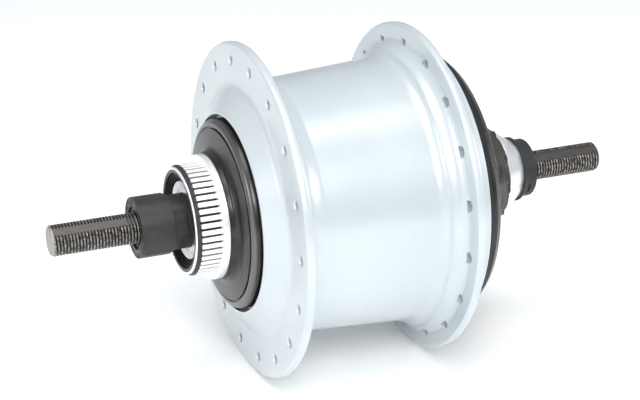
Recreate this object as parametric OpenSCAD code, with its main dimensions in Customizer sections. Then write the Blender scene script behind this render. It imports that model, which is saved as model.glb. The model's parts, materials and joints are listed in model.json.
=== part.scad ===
// Internal gear hub for a bicycle's rear wheel.
// The axle lies along Y: the brake side is at +Y, the sprocket side at -Y, and Z is up.
// The origin is the middle of the axle, half way between the two locknut faces.

/* [Axle] */
// Diameter over the axle's threads
axle_d = 9.525; // [9.2:0.025:9.8]
// Length of the axle from tip to tip
axle_length = 184; // [176:1:196]
// Distance over the two locknuts, which is the gap between the frame's ends
locknut_span = 132; // [130:1:136]
// Distance across the two flats on each end of the axle
axle_flat = 8.9; // [8.85:0.05:9.1]
// Full thread left between the left locknut and the flats
left_thread_stub = 1.6; // [0.4:0.2:4]
// Direction in which the flats face, in degrees round the axle
axle_flat_turn = 55; // [0:5:175]
// Chamfer on each tip of the axle
axle_chamfer = 0.6; // [0.3:0.1:1]
// Diameter of the axle's plain body between the two cones
axle_body_d = 12.8; // [12:0.1:13.2]
// Diameter at which the nuts' and cones' threads meet the axle's
thread_pitch_d = 8.89; // [8.8:0.01:9]
// Radial clearance of what screws or slides on the axle
axle_fit = 0.06; // [0.03:0.01:0.1]

/* [Locknuts and washers] */
// Outer diameter of both locknuts
nut_d = 18.7; // [18:0.1:20]
// Length of the left locknut
left_nut_length = 9.6; // [8:0.1:10.5]
// Length of the right locknut
right_nut_length = 4.3; // [3.5:0.1:5]
// Distance across the locknuts' wrench flats
nut_flat = 17.9; // [17:0.1:18.2]
// Direction in which the wrench flats face, in degrees round the axle
nut_flat_turn = 152; // [0:1:179]
// Length of the left locknut left round outside its wrench flats
left_nut_collar = 1.2; // [0.5:0.1:4]
// Length of the right locknut left round outside its wrench flats
right_nut_collar = 2; // [0.5:0.1:2.5]
// Depth of the recess in each locknut's outer face
nut_recess = 0.7; // [0.3:0.1:1.2]
// Width of the recess round the thread in each locknut's outer face
nut_recess_w = 1.7; // [1:0.1:2.5]
// Outer diameter of the washer behind the left locknut
left_washer_d = 18; // [17:0.1:19]
// Thickness of the washer behind the left locknut
left_washer_t = 0.7; // [0.5:0.1:1]
// Outer diameter of the tab washer behind the right locknut
right_washer_d = 20.8; // [20:0.1:22]
// Thickness of the tab washer behind the right locknut
right_washer_t = 0.8; // [0.5:0.1:1]

/* [Cones] */
// Diameter of the left cone's collar
left_collar_d = 16.8; // [16:0.1:18]
// Distance across the wrench flats of the left cone's collar
left_collar_flat = 15; // [14:0.5:16]
// Outer diameter of the cap on the left cone
left_cap_d = 24; // [23:0.1:24.4]
// Largest diameter of the right cone
right_cone_d = 28.2; // [27.8:0.1:30]
// Diameter of the right cone at its outer end
right_cone_tip_d = 19.2; // [18:0.1:20]
// Width of the right cone's shaded neck inside the driver
right_cone_neck_d = 22; // [20:0.1:23]

/* [Balls] */
// Diameter of the left bearing's balls
left_ball_d = 6.35; // [6:0.05:6.5]
// Number of balls in the left bearing
left_ball_count = 9; // [7:1:9]
// Diameter of the circle that the left bearing's balls run on
left_ball_ring_d = 22.4; // [22:0.1:22.6]
// Place of the left bearing along the axle
left_ball_y = 42.5; // [42:0.1:43]
// Diameter of the balls between the right cone and the driver
driver_ball_d = 4.76; // [4.5:0.02:4.9]
// Number of balls between the right cone and the driver
driver_ball_count = 11; // [8:1:12]
// Diameter of the circle that the driver's balls run on
driver_ball_ring_d = 22; // [21.6:0.1:22.2]
// Distance of the driver's balls from the driver's outer end
driver_ball_depth = 4; // [3.7:0.1:4.4]
// Diameter of the balls between the driver and the shell
shell_ball_d = 3.96; // [3.8:0.02:4]
// Number of balls between the driver and the shell
shell_ball_count = 36; // [24:1:38]
// Diameter of the circle that the shell's right balls run on
shell_ball_ring_d = 64; // [63.6:0.1:64.4]
// Place of the shell's right balls along the axle
shell_ball_y = -33.9; // [-34.1:0.1:-33.7]
// Clearance between each ball and its races
race_gap = 0.12; // [0.1:0.01:0.15]

/* [Shell] */
// Thickness of the two spoke flanges
flange_t = 2.9; // [2.5:0.1:3.4]
// Place of the left flange along the axle
left_flange_y = 29.35; // [28.9:0.05:29.8]
// Place of the right flange along the axle
right_flange_y = -24.45; // [-24.9:0.05:-24]
// Rounding of the flanges' rims
flange_edge = 1.1; // [0.5:0.1:1.2]
// Diameter of the drum at its left end
drum_left_d = 78.8; // [78:0.1:80]
// Diameter of the drum at its right end
drum_right_d = 83.4; // [82:0.1:85]
// Place of the drum's left end
drum_left_y = 19; // [17:0.5:21]
// Place of the drum's right end
drum_right_y = -15.2; // [-16:0.1:-13]
// Diameter of the space for the gears inside the drum
drum_bore_d = 74.8; // [74:0.1:75.4]
// Diameter of the shell's left mouth over its edge
mouth_d = 61.9; // [61.2:0.1:63]
// Width of the rounded edge round the shell's left mouth
mouth_edge = 0.5; // [0.3:0.1:0.8]
// Place of the shell's left mouth
mouth_y = 36.2; // [36:0.1:37]
// Diameter of the shell's rim behind the right flange
right_rim_d = 89; // [88:0.1:91]
// Place of the shell's right end
right_rim_y = -31; // [-31.4:0.1:-30.9]

/* [Spoke holes] */
// Number of spoke holes in each flange
spokes_per_flange = 18; // [14:2:20]
// Diameter of the circle that the spoke holes lie on
spoke_circle_d = 92.6; // [91.5:0.1:102]
// Distance from the spoke circle to the flanges' rims
flange_margin = 5.7; // [4:0.1:8]
// Diameter of each spoke hole
spoke_hole_d = 2.9; // [2.5:0.1:3.2]
// Direction of the first hole in the left flange, in degrees
spoke_turn = 2.7; // [0:0.1:20]

/* [Brake spline and left covers] */
// Number of teeth on the brake spline
spline_teeth = 50; // [40:1:56]
// Diameter over the spline's teeth
spline_d = 34.6; // [34:0.1:35.5]
// Depth of the grooves between the spline's teeth
spline_depth = 0.9; // [0.5:0.1:1.2]
// Share of each tooth's pitch that the groove takes
spline_groove_share = 0.36; // [0.25:0.01:0.5]
// Length of the brake spline
spline_length = 6.1; // [5:0.1:7]
// Place of the spline's inner end along the axle
spline_y = 44.1; // [43.5:0.1:44.7]
// Length of the cup's bare nose past the spline
cup_nose = 1.7; // [1:0.1:2.5]
// Diameter of the disc behind the spline
disc_d = 38.4; // [37:0.1:40]
// Thickness of the disc behind the spline
disc_t = 2; // [1.5:0.1:2.5]
// Diameter of the seal's pocket in the cup
seal_d = 29.2; // [28.9:0.1:29.6]
// Gap between the left dust cover and the shell's mouth
left_cover_gap = 1.15; // [0.5:0.05:2]
// Width of the dust cover's rounded rim
left_cover_rim_w = 2.8; // [2.3:0.1:4]
// Place of the dust cover's flat grey face
left_cover_face_y = 38.9; // [38.5:0.1:39.4]
// Thickness of the dust cover's outer wall
left_cover_t = 1.2; // [0.8:0.1:1.6]
// Thickness of the dust cover's neck behind the disc
left_cover_neck_t = 0.7; // [0.5:0.1:1]

/* [Driver side] */
// Place of the driver's outer end along the axle
driver_end_y = -53.2; // [-53.6:0.1:-53]
// Diameter of the seat that takes the sprocket
sprocket_seat_d = 35; // [34:0.1:36]
// Length of the seat that takes the sprocket
sprocket_seat_length = 4; // [3:0.1:4.5]
// Diameter of the shoulder behind the sprocket seat
driver_shoulder_d = 43; // [42:0.1:44]
// Place of the driver's inner face, where the ring gear sits
driver_face_y = -28; // [-28.2:0.05:-27.9]
// Number of lugs on the driver's outer end
driver_lugs = 9; // [6:1:9]
// Diameter of each lug on the driver's outer end
driver_lug_d = 3.2; // [2:0.1:3.4]
// Direction of the first lug, in degrees
driver_lug_turn = 18; // [0:1:40]
// Diameter of the driver's dust cap
dust_cap_d = 65.8; // [65:0.1:66]
// Thickness of the driver's dust cap
dust_cap_t = 0.8; // [0.6:0.1:0.9]
// Outer diameter of the right ball cup
right_cup_d = 84; // [82:0.5:86]
// Diameter of the right ball cup at its outer face
right_cup_face_d = 77.6; // [75:0.1:80]
// Place of the right ball cup's outer face
right_cup_face_y = -37.1; // [-37.6:0.1:-36.9]
// Thickness of the black seal beside the right ball cup
right_seal_t = 1.7; // [1.4:0.1:3]
// Outer diameter of the black seal beside the right ball cup
right_seal_d = 88; // [86:0.5:88.5]

/* [Gears] */
// Pressure angle of every gear
pressure_angle = 20; // [20:1:22]
// Tooth height above the pitch circle, in modules
addendum = 0.8; // [0.7:0.05:0.85]
// Tooth depth below the pitch circle, in modules
dedendum = 1.05; // [1:0.05:1.2]
// How much thinner each tooth is than half its pitch
tooth_thinning = 0.13; // [0.1:0.01:0.2]
// Number of planets in each stage
planet_count = 4; // [2:1:4]
// Module of the reduction stage
reduction_module = 0.9; // [0.85:0.01:0.91]
// Teeth of the reduction stage's sun
reduction_sun_teeth = 33; // [30:1:34]
// Teeth of the reduction planets' small gear, which meets the sun
reduction_small_teeth = 13; // [12:1:14]
// Teeth of the reduction planets' large gear, which meets the ring
reduction_large_teeth = 25; // [22:1:25]
// Module of the overdrive stage
overdrive_module = 1; // [0.95:0.01:1.01]
// Teeth of the overdrive stage's middle sun
middle_sun_teeth = 26; // [25:1:27]
// Teeth of the overdrive planets' large gear, which meets the small sun
overdrive_large_teeth = 25; // [23:1:25]
// Teeth of the overdrive planets' middle gear, which meets the ring
overdrive_middle_teeth = 18; // [17:1:19]
// Teeth of the overdrive planets' small gear, which meets the large sun
overdrive_small_teeth = 14; // [13:1:15]
// Width of the reduction planets' large gear
reduction_large_width = 7; // [6:0.1:7.2]
// Width of the reduction planets' small gear
reduction_small_width = 8; // [7:0.1:8.2]
// Width of the overdrive planets' large gear
overdrive_large_width = 6; // [5:0.1:6.2]
// Width of the overdrive planets' middle gear
overdrive_middle_width = 7; // [6:0.1:7.2]
// Width of the overdrive planets' small gear
overdrive_small_width = 6; // [5:0.1:6.2]
// Diameter of the planets' pins
planet_pin_d = 4; // [3.5:0.1:4.4]
// Radial clearance of each planet on its pin
planet_fit = 0.06; // [0.03:0.01:0.1]
// Thickness of the carriers' plates
carrier_plate_t = 1.8; // [1.5:0.1:2]
// Diameter of the pillars between the carriers' plates
pillar_d = 5.2; // [4:0.1:5.4]
// Thickness of the rings' walls outside the teeth
ring_wall = 1.8; // [1.4:0.1:2]
// Clearance between parts that turn beside each other
side_gap = 0.6; // [0.5:0.05:0.7]

/* [Clutch and shifting] */
// Diameter of the clutch's cam
clutch_cam_d = 38.4; // [37.5:0.1:39]
// Diameter of each clutch roller
clutch_roller_d = 4; // [3.6:0.1:4.1]
// Number of clutch rollers
clutch_roller_count = 10; // [8:1:12]
// Length of each clutch roller
clutch_roller_length = 7.6; // [6.5:0.1:7.8]
// Thickness of the clutch's race
clutch_race_t = 2.1; // [1.6:0.1:2.4]
// Thickness of the shift sleeve's wall
sleeve_t = 1; // [0.8:0.1:1.2]
// Thickness of the return spring's band
return_spring_t = 0.5; // [0.4:0.1:0.6]
// Width of each pawl that locks a sun to the axle
pawl_w = 2.2; // [1.8:0.1:2.6]
// Height by which a raised pawl stands out of the axle's body
pawl_lift = 0.6; // [0.4:0.05:0.7]
// Clearance round each pawl in its pocket
pawl_gap = 0.15; // [0.1:0.05:0.2]

/* [Hidden] */
$fn = 96;

// Small gaps and cuts
contact_gap = 0.03;
nut_edge = 0.4;
press_gap = 0.05;
cut = 1;

// Stations of the axle, its nuts and its cones, each measured along the axle
nut_face = locknut_span / 2;
axle_tip = axle_length / 2;
axle_r = axle_d / 2;
nut_bore_r = thread_pitch_d / 2;
thread_r = nut_bore_r - axle_fit;
axle_body_r = axle_body_d / 2;
running_r = axle_body_r + axle_fit;
left_nut_in = nut_face - left_nut_length;
left_cone_out = left_nut_in - left_washer_t;
right_nut_in = -nut_face + right_nut_length;
right_cone_out = right_nut_in + right_washer_t;

// Left bearing
left_ball_r = left_ball_d / 2;
left_ball_ring_r = left_ball_ring_d / 2;
left_race_r = left_ball_r + race_gap;
left_cone_in = left_ball_y - left_race_r - 0.5;
left_cone_shoulder_y = left_ball_y + 5.9;
left_cone_shoulder_r = left_ball_ring_r - 0.6;
left_cap_t = 0.6;
left_cap_y = left_cone_shoulder_y + 0.6;

// Driver bearing
driver_ball_r = driver_ball_d / 2;
driver_ball_ring_r = driver_ball_ring_d / 2;
driver_race_r = driver_ball_r + race_gap;
driver_ball_y = driver_end_y + driver_ball_depth;
right_cone_in = driver_ball_y + driver_race_r + 0.5;
right_cone_base_y = driver_end_y - 0.5;

// Bearing between the driver and the shell
shell_ball_r = shell_ball_d / 2;
shell_ball_ring_r = shell_ball_ring_d / 2;
shell_race_r = shell_ball_r + race_gap;

// Axle body between the cones
axle_body_left = left_cone_in - 0.3;
axle_body_right = right_cone_in + 0.3;

// Shell
flange_r = spoke_circle_d / 2 + flange_margin;
left_face = left_flange_y + flange_t / 2;
left_back = left_flange_y - flange_t / 2;
right_face = right_flange_y - flange_t / 2;
right_back = right_flange_y + flange_t / 2;
drum_left_r = drum_left_d / 2;
drum_right_r = drum_right_d / 2;
drum_bore_r = drum_bore_d / 2;
mouth_r = mouth_d / 2;
mouth_bore_r = mouth_r - mouth_edge;
spoke_step = 360 / spokes_per_flange;
cone_foot_r = flange_r - 13;
cove_left_r = drum_left_r + 7;
shoulder_r = drum_right_r + 2.5;
right_rim_r = right_rim_d / 2;
cup_thread_r = drum_bore_r + 1;

// Left cup, its covers and the clutch
spline_r = spline_d / 2;
spline_root_r = spline_r - spline_depth;
spline_out = spline_y + spline_length;
cup_out = spline_out + cup_nose;
disc_r = disc_d / 2;
disc_in = spline_y - disc_t;
seal_r = seal_d / 2;
cup_neck_r = disc_r - 0.3;
left_cover_neck_r = cup_neck_r + press_gap + left_cover_neck_t;
left_cover_r = mouth_bore_r - left_cover_gap;
left_cover_face_r = left_cover_r - left_cover_rim_w;
cup_flange_out = left_face + 2.6;
cup_flange_in = left_face + 0.2;
cup_flange_r = mouth_bore_r - press_gap;
clutch_cam_r = clutch_cam_d / 2;
clutch_roller_r = clutch_roller_d / 2;
clutch_gap = 0.1;
clutch_ring_r = clutch_cam_r + clutch_gap + clutch_roller_r;
clutch_race_in = clutch_ring_r + clutch_roller_r + clutch_gap;
clutch_race_out = clutch_race_in + clutch_race_t;
cup_barrel_r = clutch_race_out + press_gap + 1.9;

// Gears: the ring and the outer suns follow from the planets and one sun
reduction_centre = reduction_module * (reduction_sun_teeth + reduction_small_teeth) / 2;
reduction_ring_teeth = reduction_sun_teeth + reduction_small_teeth + reduction_large_teeth;
overdrive_sum = middle_sun_teeth + overdrive_middle_teeth;
overdrive_centre = overdrive_module * overdrive_sum / 2;
overdrive_ring_teeth = overdrive_sum + overdrive_middle_teeth;
small_sun_teeth = overdrive_sum - overdrive_large_teeth;
large_sun_teeth = overdrive_sum - overdrive_small_teeth;
middle_sun_turn = 180 * (overdrive_middle_teeth - 1) / middle_sun_teeth;
reduction_ring_root = reduction_module * (reduction_ring_teeth / 2 + dedendum);
reduction_ring_r = reduction_ring_root + ring_wall;
overdrive_ring_root = overdrive_module * (overdrive_ring_teeth / 2 + dedendum);
overdrive_ring_r = overdrive_ring_root + ring_wall;
overdrive_bore_r = overdrive_ring_root - 1;
planet_bore_r = planet_pin_d / 2 + planet_fit;
sun_hub_r = overdrive_module * (small_sun_teeth / 2 - dedendum) - 0.2;

// Stations of the gears, stacked from the driver's inner face to the left
plate_gap = 0.4;
tooth_step = 0.6;
reduction_plate_in = driver_face_y + side_gap;
reduction_large_in = reduction_plate_in + carrier_plate_t + plate_gap;
reduction_small_in = reduction_large_in + reduction_large_width;
reduction_small_out = reduction_small_in + reduction_small_width;
reduction_plate_out = reduction_small_out + plate_gap;
dog_gap = 1;
overdrive_plate_in = reduction_plate_out + carrier_plate_t + dog_gap;
overdrive_large_in = overdrive_plate_in + carrier_plate_t + side_gap;
overdrive_middle_in = overdrive_large_in + overdrive_large_width;
overdrive_small_in = overdrive_middle_in + overdrive_middle_width;
overdrive_small_out = overdrive_small_in + overdrive_small_width;
overdrive_plate_out = overdrive_small_out + plate_gap;
output_web_in = overdrive_plate_out + carrier_plate_t + side_gap;
output_web_out = output_web_in + 2;
clutch_in = output_web_out + side_gap;
clutch_out = clutch_in + clutch_roller_length + 1;
output_hub_out = clutch_out + 0.2;
cup_cavity_y = output_hub_out + side_gap;
carrier_r = overdrive_module * (overdrive_ring_teeth / 2 - addendum) - 1.4;

// Driver
driver_bore_r = running_r + sleeve_t + return_spring_t + 1.4;
driver_shoulder_r = driver_shoulder_d / 2;
sprocket_seat_r = sprocket_seat_d / 2;
driver_flange_r = reduction_ring_r;
seat_out = driver_end_y + 3.1;
seat_in = seat_out + sprocket_seat_length;
driver_shoulder_t = 1.5;
driver_rim_r = shell_ball_ring_r - shell_race_r;
driver_rim_out = shell_ball_y - shell_ball_r - 0.4;
driver_barrel_r = 16.5;
driver_nose_r = driver_ball_ring_r + driver_race_r + 0.75;
driver_lug_ring_r = driver_nose_r - 0.4;
dust_cap_r = dust_cap_d / 2;
dust_cap_in = driver_rim_out;
dust_cap_out = driver_rim_out - dust_cap_t;
right_cup_r = right_cup_d / 2;
right_cup_face_r = right_cup_face_d / 2;
right_cup_lip_r = dust_cap_r + 0.5;
right_seal_out = right_rim_y - right_seal_t;
right_seal_r = right_seal_d / 2;

// Shift sleeve and pawls
sleeve_r = running_r + sleeve_t;
sleeve_right = axle_body_right + 0.4;
sleeve_left = reduction_small_in - 1;
spring_in = sleeve_right + 1.5;
spring_out = spring_in + 9;
pawl_foot_r = axle_body_r - 1.2;
notch_r = axle_body_r + pawl_lift + 0.2;
notch_count = 8;
sleeve_window = 5;

// Colours as seen
steel_black = [0.14, 0.14, 0.15];
steel_grey = [0.36, 0.34, 0.32];
steel_bright = [0.82, 0.83, 0.85];
shell_paint = [0.86, 0.9, 0.93];
gunmetal = [0.42, 0.42, 0.43];
rubber_black = [0.07, 0.07, 0.08];
gear_steel = [0.62, 0.62, 0.64];

// A point in polar form
function polar(r, a) = [r * cos(a), r * sin(a)];

// Points along an arc in the plane of radius and length
function arc(c, r, a0, a1, steps = 8) =
    [for (i = [0:steps]) c + polar(r, a0 + (a1 - a0) * i / steps)];

// Points along a curve that leaves a towards b and arrives at c
function curve(a, b, c, steps = 6) =
    [for (i = [0:steps]) let (t = i / steps) a * (1 - t) * (1 - t) + b * 2 * t * (1 - t) + c * t * t];

// Angle by which an involute has turned away from its base circle at radius r
function involute_turn(base_r, r) = let (a = acos(min(1, base_r / r))) tan(a) * 180 / PI - a;

// Half the angle that a tooth takes at radius r, with extra added to its width on the pitch circle
function tooth_half(teeth, pitch_r, r, extra) =
    let (base_r = pitch_r * cos(pressure_angle))
    90 / teeth + extra / 2 / pitch_r * 180 / PI
        + involute_turn(base_r, pitch_r) - involute_turn(base_r, max(r, base_r));

// Outline of a gear whose teeth reach from radius low to radius high
function gear_points(teeth, gear_module, low, high, extra, turn) =
    let (pitch_r = teeth * gear_module / 2, radii = [for (s = [0, 0.35, 0.7, 1]) low + (high - low) * s])
    [for (i = [0:teeth - 1])
        let (mid = turn + i * 360 / teeth)
        each concat(
            [for (r = radii) polar(r, mid - tooth_half(teeth, pitch_r, r, extra))],
            [for (j = [3:-1:0]) polar(radii[j], mid + tooth_half(teeth, pitch_r, radii[j], extra))])];

// Direction of each planet's pin; the overdrive planets keep to places where the teeth meet
function reduction_place(k) = 360 * k / planet_count;
function overdrive_place(k) =
    let (steps = middle_sun_teeth + overdrive_ring_teeth) round(k * steps / planet_count) * 360 / steps;

// Turn of a planet gear at angle a, in mesh with a sun or a ring whose first tooth or space is at 0
function turn_on_sun(a, sun_teeth, teeth) = a + 180 - 180 / teeth + a * sun_teeth / teeth;
function turn_in_ring(a, ring_teeth, teeth) = a - a * ring_teeth / teeth;

// Lays a shape drawn along Z on the axle, with its top towards the brake side
module along_axle() rotate([-90, 0, 0]) children();

module turned(points) rotate_extrude() polygon(points);

module ring(inner_r, outer_r, low, high) turned([
    [inner_r, low], [outer_r, low], [outer_r, high], [inner_r, high]
]);

module bore(r, low, high) translate([0, 0, low]) cylinder(r = r, h = high - low);

// Everything outside two flats a given distance apart
module outside_flats(across, reach, low, high, turn) rotate(turn)
    for (side = [0, 180]) rotate(side)
        translate([across / 2, -reach, low]) cube([reach, 2 * reach, high - low]);

module gear(teeth, gear_module, low, high, turn) translate([0, 0, low])
    linear_extrude(high - low) polygon(gear_points(
        teeth, gear_module,
        gear_module * (teeth / 2 - dedendum), gear_module * (teeth / 2 + addendum),
        -tooth_thinning, turn));

// The space that an internal gear's teeth leave
module gear_space(teeth, gear_module, low, high) translate([0, 0, low])
    linear_extrude(high - low) polygon(gear_points(
        teeth, gear_module,
        gear_module * (teeth / 2 - addendum), gear_module * (teeth / 2 + dedendum),
        tooth_thinning, 0));

module balls(count, ring_r, ball_r, y) for (i = [0:count - 1])
    rotate(360 * i / count) translate([ring_r, 0, y]) sphere(r = ball_r);

// A flat ring that keeps a bearing's balls apart
module ball_cage(count, ring_r, ball_r, y, inner_r, outer_r, low, high) difference() {
    ring(inner_r, outer_r, low, high);
    balls(count, ring_r, ball_r + 0.15, y);
}

// Axle, with flats at both ends and pockets for the pawls
module axle() color(steel_grey) along_axle() difference() {
    turned([
        [0, -axle_tip], [axle_r - axle_chamfer, -axle_tip], [axle_r, -axle_tip + axle_chamfer],
        [axle_r, -nut_face], [thread_r, -nut_face], [thread_r, axle_body_right],
        [axle_body_r, axle_body_right], [axle_body_r, axle_body_left],
        [thread_r, axle_body_left], [thread_r, nut_face], [axle_r, nut_face],
        [axle_r, axle_tip - axle_chamfer], [axle_r - axle_chamfer, axle_tip], [0, axle_tip]
    ]);
    outside_flats(axle_flat, axle_d, nut_face + left_thread_stub, axle_tip + cut, axle_flat_turn);
    outside_flats(axle_flat, axle_d, -axle_tip - cut, -nut_face - 0.4, axle_flat_turn);
    for (span = pawl_spans) pawl_block(
        pawl_foot_r - pawl_gap, axle_body_r + cut, span[0] - pawl_gap, span[1] + pawl_gap, pawl_w + 2 * pawl_gap);
}

// Where each pawl lies along the axle, and whether it is raised into its sun
pawl_margin = 0.9;
pawl_spans = [
    [reduction_small_in + tooth_step + pawl_margin, reduction_small_out - tooth_step - pawl_margin, true],
    [overdrive_large_in + tooth_step + pawl_margin, overdrive_middle_in - tooth_step - pawl_margin, false],
    [overdrive_middle_in + tooth_step + pawl_margin, overdrive_small_in - tooth_step - pawl_margin, false],
    [overdrive_small_in + tooth_step + pawl_margin, overdrive_small_out - tooth_step - pawl_margin, true]
];

module pawl_block(foot_r, top_r, low, high, width)
    translate([foot_r, -width / 2, low]) cube([top_r - foot_r, width, high - low]);

module sun_pawls() color(steel_bright) along_axle() for (span = pawl_spans)
    pawl_block(
        pawl_foot_r, span[2] ? axle_body_r + pawl_lift : axle_body_r - 0.1, span[0], span[1], pawl_w);

// A round locknut from its inner face to its outer face, with two wrench flats
module locknut(length, collar) difference() {
    turned([
        [nut_bore_r, 0], [nut_d / 2, 0], [nut_d / 2, length - nut_edge],
        [nut_d / 2 - nut_edge, length], [nut_bore_r, length]
    ]);
    outside_flats(nut_flat, nut_d, -cut, length - collar, nut_flat_turn);
    bore(axle_r + nut_recess_w, length - nut_recess, length + cut);
}

module left_locknut() color(steel_black) along_axle() translate([0, 0, left_nut_in])
    locknut(left_nut_length, left_nut_collar);

module right_locknut() color(steel_black) along_axle() translate([0, 0, right_nut_in])
    mirror([0, 0, 1]) locknut(right_nut_length, right_nut_collar);

module left_washer() color(steel_black) along_axle()
    ring(axle_r + axle_fit, left_washer_d / 2, left_cone_out, left_nut_in);

module right_tab_washer() color(steel_black) along_axle() difference() {
    ring(axle_r + axle_fit, right_washer_d / 2, right_nut_in, right_cone_out);
    outside_flats(right_washer_d - 1, right_washer_d, right_nut_in - cut, right_cone_out + cut, 60);
}

// Left cone: a race for the balls, a shoulder for its cap and a collar with flats
module left_cone() color(steel_black) along_axle() difference() {
    turned(concat(
        [[nut_bore_r, left_cone_in], [left_ball_ring_r - left_race_r - 0.5, left_cone_in]],
        [[left_ball_ring_r - left_race_r, left_cone_in + 1]],
        arc([left_ball_ring_r, left_ball_y], left_race_r, 180, 115),
        [[left_cone_shoulder_r, left_ball_y + left_ball_r + 0.2],
         [left_cone_shoulder_r, left_cone_shoulder_y],
         [left_collar_d / 2, left_cone_shoulder_y + 0.5],
         [left_collar_d / 2, left_cone_out], [nut_bore_r, left_cone_out]]));
    outside_flats(left_collar_flat, left_collar_d, left_cap_y + 2.2, left_cone_out + cut, 20);
}

module left_cone_cap() color(steel_bright) along_axle() turned([
    [left_collar_d / 2 + press_gap, left_cap_y], [left_cap_d / 2, left_cap_y + 0.7],
    [left_cap_d / 2, left_cap_y + 0.7 + left_cap_t],
    [left_collar_d / 2 + press_gap, left_cap_y + left_cap_t + 0.4]
]);

// Right cone: a race inside the driver, a neck and a tapered outer part
module right_cone() color(steel_bright) along_axle() turned(concat(
    [[nut_bore_r, right_cone_out], [right_cone_tip_d / 2, right_cone_out],
     [right_cone_d / 2, right_cone_base_y - 0.5], [right_cone_d / 2, right_cone_base_y],
     [right_cone_neck_d / 2, right_cone_base_y]],
    arc([driver_ball_ring_r, driver_ball_y], driver_race_r, 245, 180),
    [[driver_ball_ring_r - driver_race_r, right_cone_in - 1],
     [driver_ball_ring_r - driver_race_r - 0.5, right_cone_in], [nut_bore_r, right_cone_in]]));

// Sun gears, each with notches in its bore for a pawl
module sun(teeth, gear_module, low, high, turn) difference() {
    union() {
        gear(teeth, gear_module, low + tooth_step, high - tooth_step, turn);
        bore(sun_hub_r, low + 0.1, high - 0.1);
    }
    bore(running_r, low - cut, high + cut);
    for (i = [0:notch_count - 1]) rotate(360 * i / notch_count)
        pawl_block(running_r - 1, notch_r, low - cut, high + cut, pawl_w + 4 * pawl_gap);
}

module reduction_sun() color(gear_steel) along_axle()
    sun(reduction_sun_teeth, reduction_module, reduction_small_in, reduction_small_out, 0);

module overdrive_sun_small() color(gear_steel) along_axle()
    sun(small_sun_teeth, overdrive_module, overdrive_large_in, overdrive_middle_in, 0);

module overdrive_sun_middle() color(gear_steel) along_axle()
    sun(middle_sun_teeth, overdrive_module, overdrive_middle_in, overdrive_small_in, middle_sun_turn);

module overdrive_sun_large() color(gear_steel) along_axle()
    sun(large_sun_teeth, overdrive_module, overdrive_small_in, overdrive_small_out, 0);

// Planets
module planet_pin(centre, a, low, high) rotate(a) translate([centre, 0, low])
    cylinder(d = planet_pin_d, h = high - low);

module reduction_planet(k) color(gear_steel) along_axle() {
    a = reduction_place(k);
    rotate(a) translate([reduction_centre, 0, 0]) rotate(-a) difference() {
        union() {
            gear(reduction_large_teeth, reduction_module, reduction_large_in, reduction_small_in,
                turn_in_ring(a, reduction_ring_teeth, reduction_large_teeth));
            gear(reduction_small_teeth, reduction_module, reduction_small_in, reduction_small_out,
                turn_on_sun(a, reduction_sun_teeth, reduction_small_teeth));
        }
        bore(planet_bore_r, reduction_large_in - cut, reduction_small_out + cut);
    }
}

module overdrive_planet(k) color(gear_steel) along_axle() {
    a = overdrive_place(k);
    rotate(a) translate([overdrive_centre, 0, 0]) rotate(-a) difference() {
        union() {
            gear(overdrive_large_teeth, overdrive_module, overdrive_large_in, overdrive_middle_in,
                turn_on_sun(a, small_sun_teeth, overdrive_large_teeth));
            gear(overdrive_middle_teeth, overdrive_module, overdrive_middle_in, overdrive_small_in,
                turn_in_ring(a, overdrive_ring_teeth, overdrive_middle_teeth));
            gear(overdrive_small_teeth, overdrive_module, overdrive_small_in, overdrive_small_out,
                turn_on_sun(a, large_sun_teeth, overdrive_small_teeth));
        }
        bore(planet_bore_r, overdrive_large_in - cut, overdrive_small_out + cut);
    }
}

// Carriers: two plates each, joined by pillars between the planets
module carrier_plate(outer_r, inner_r, low, centre, places) difference() {
    ring(inner_r, outer_r, low, low + carrier_plate_t);
    for (a = places) rotate(a) translate([centre, 0, low - cut])
        cylinder(d = planet_pin_d + 2 * contact_gap, h = carrier_plate_t + 2 * cut);
}

module pillars(centre, places, low, high) for (a = places)
    rotate(a + 180 / planet_count) translate([centre, 0, low]) cylinder(d = pillar_d, h = high - low);

reduction_places = [for (k = [0:planet_count - 1]) reduction_place(k)];
overdrive_places = [for (k = [0:planet_count - 1]) overdrive_place(k)];
dog_r = overdrive_centre + 4;
dog_depth = 4;
dog_w = 5;

module dogs(low, high, extra) for (i = [0:3]) rotate(45 + 90 * i)
    translate([dog_r - dog_depth / 2 - extra, -dog_w / 2 - extra, low])
        cube([dog_depth + 2 * extra, dog_w + 2 * extra, high - low]);

module reduction_carrier() color(steel_grey) along_axle() {
    carrier_plate(carrier_r, sleeve_r + 0.5, reduction_plate_in, reduction_centre, reduction_places);
    carrier_plate(carrier_r, running_r, reduction_plate_out, reduction_centre, reduction_places);
    pillars(reduction_centre + 1.3, reduction_places,
        reduction_plate_in + carrier_plate_t - 0.01, reduction_plate_out + 0.01);
    dogs(reduction_plate_out + carrier_plate_t - 0.01, overdrive_plate_in + carrier_plate_t, 0);
}

module overdrive_carrier() color(steel_grey) along_axle() difference() {
    union() {
        carrier_plate(carrier_r, running_r, overdrive_plate_in, overdrive_centre, overdrive_places);
        carrier_plate(carrier_r, running_r, overdrive_plate_out, overdrive_centre, overdrive_places);
        pillars(overdrive_centre, overdrive_places,
            overdrive_plate_in + carrier_plate_t - 0.01, overdrive_plate_out + 0.01);
    }
    dogs(overdrive_plate_in - cut, overdrive_plate_in + carrier_plate_t + 0.1, contact_gap + 0.07);
}

module reduction_pins() color(steel_bright) along_axle() for (a = reduction_places)
    planet_pin(reduction_centre, a, reduction_plate_in, reduction_plate_out + carrier_plate_t);

module overdrive_pins() color(steel_bright) along_axle() for (a = overdrive_places)
    planet_pin(overdrive_centre, a, overdrive_plate_in, overdrive_plate_out + carrier_plate_t);

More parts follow.
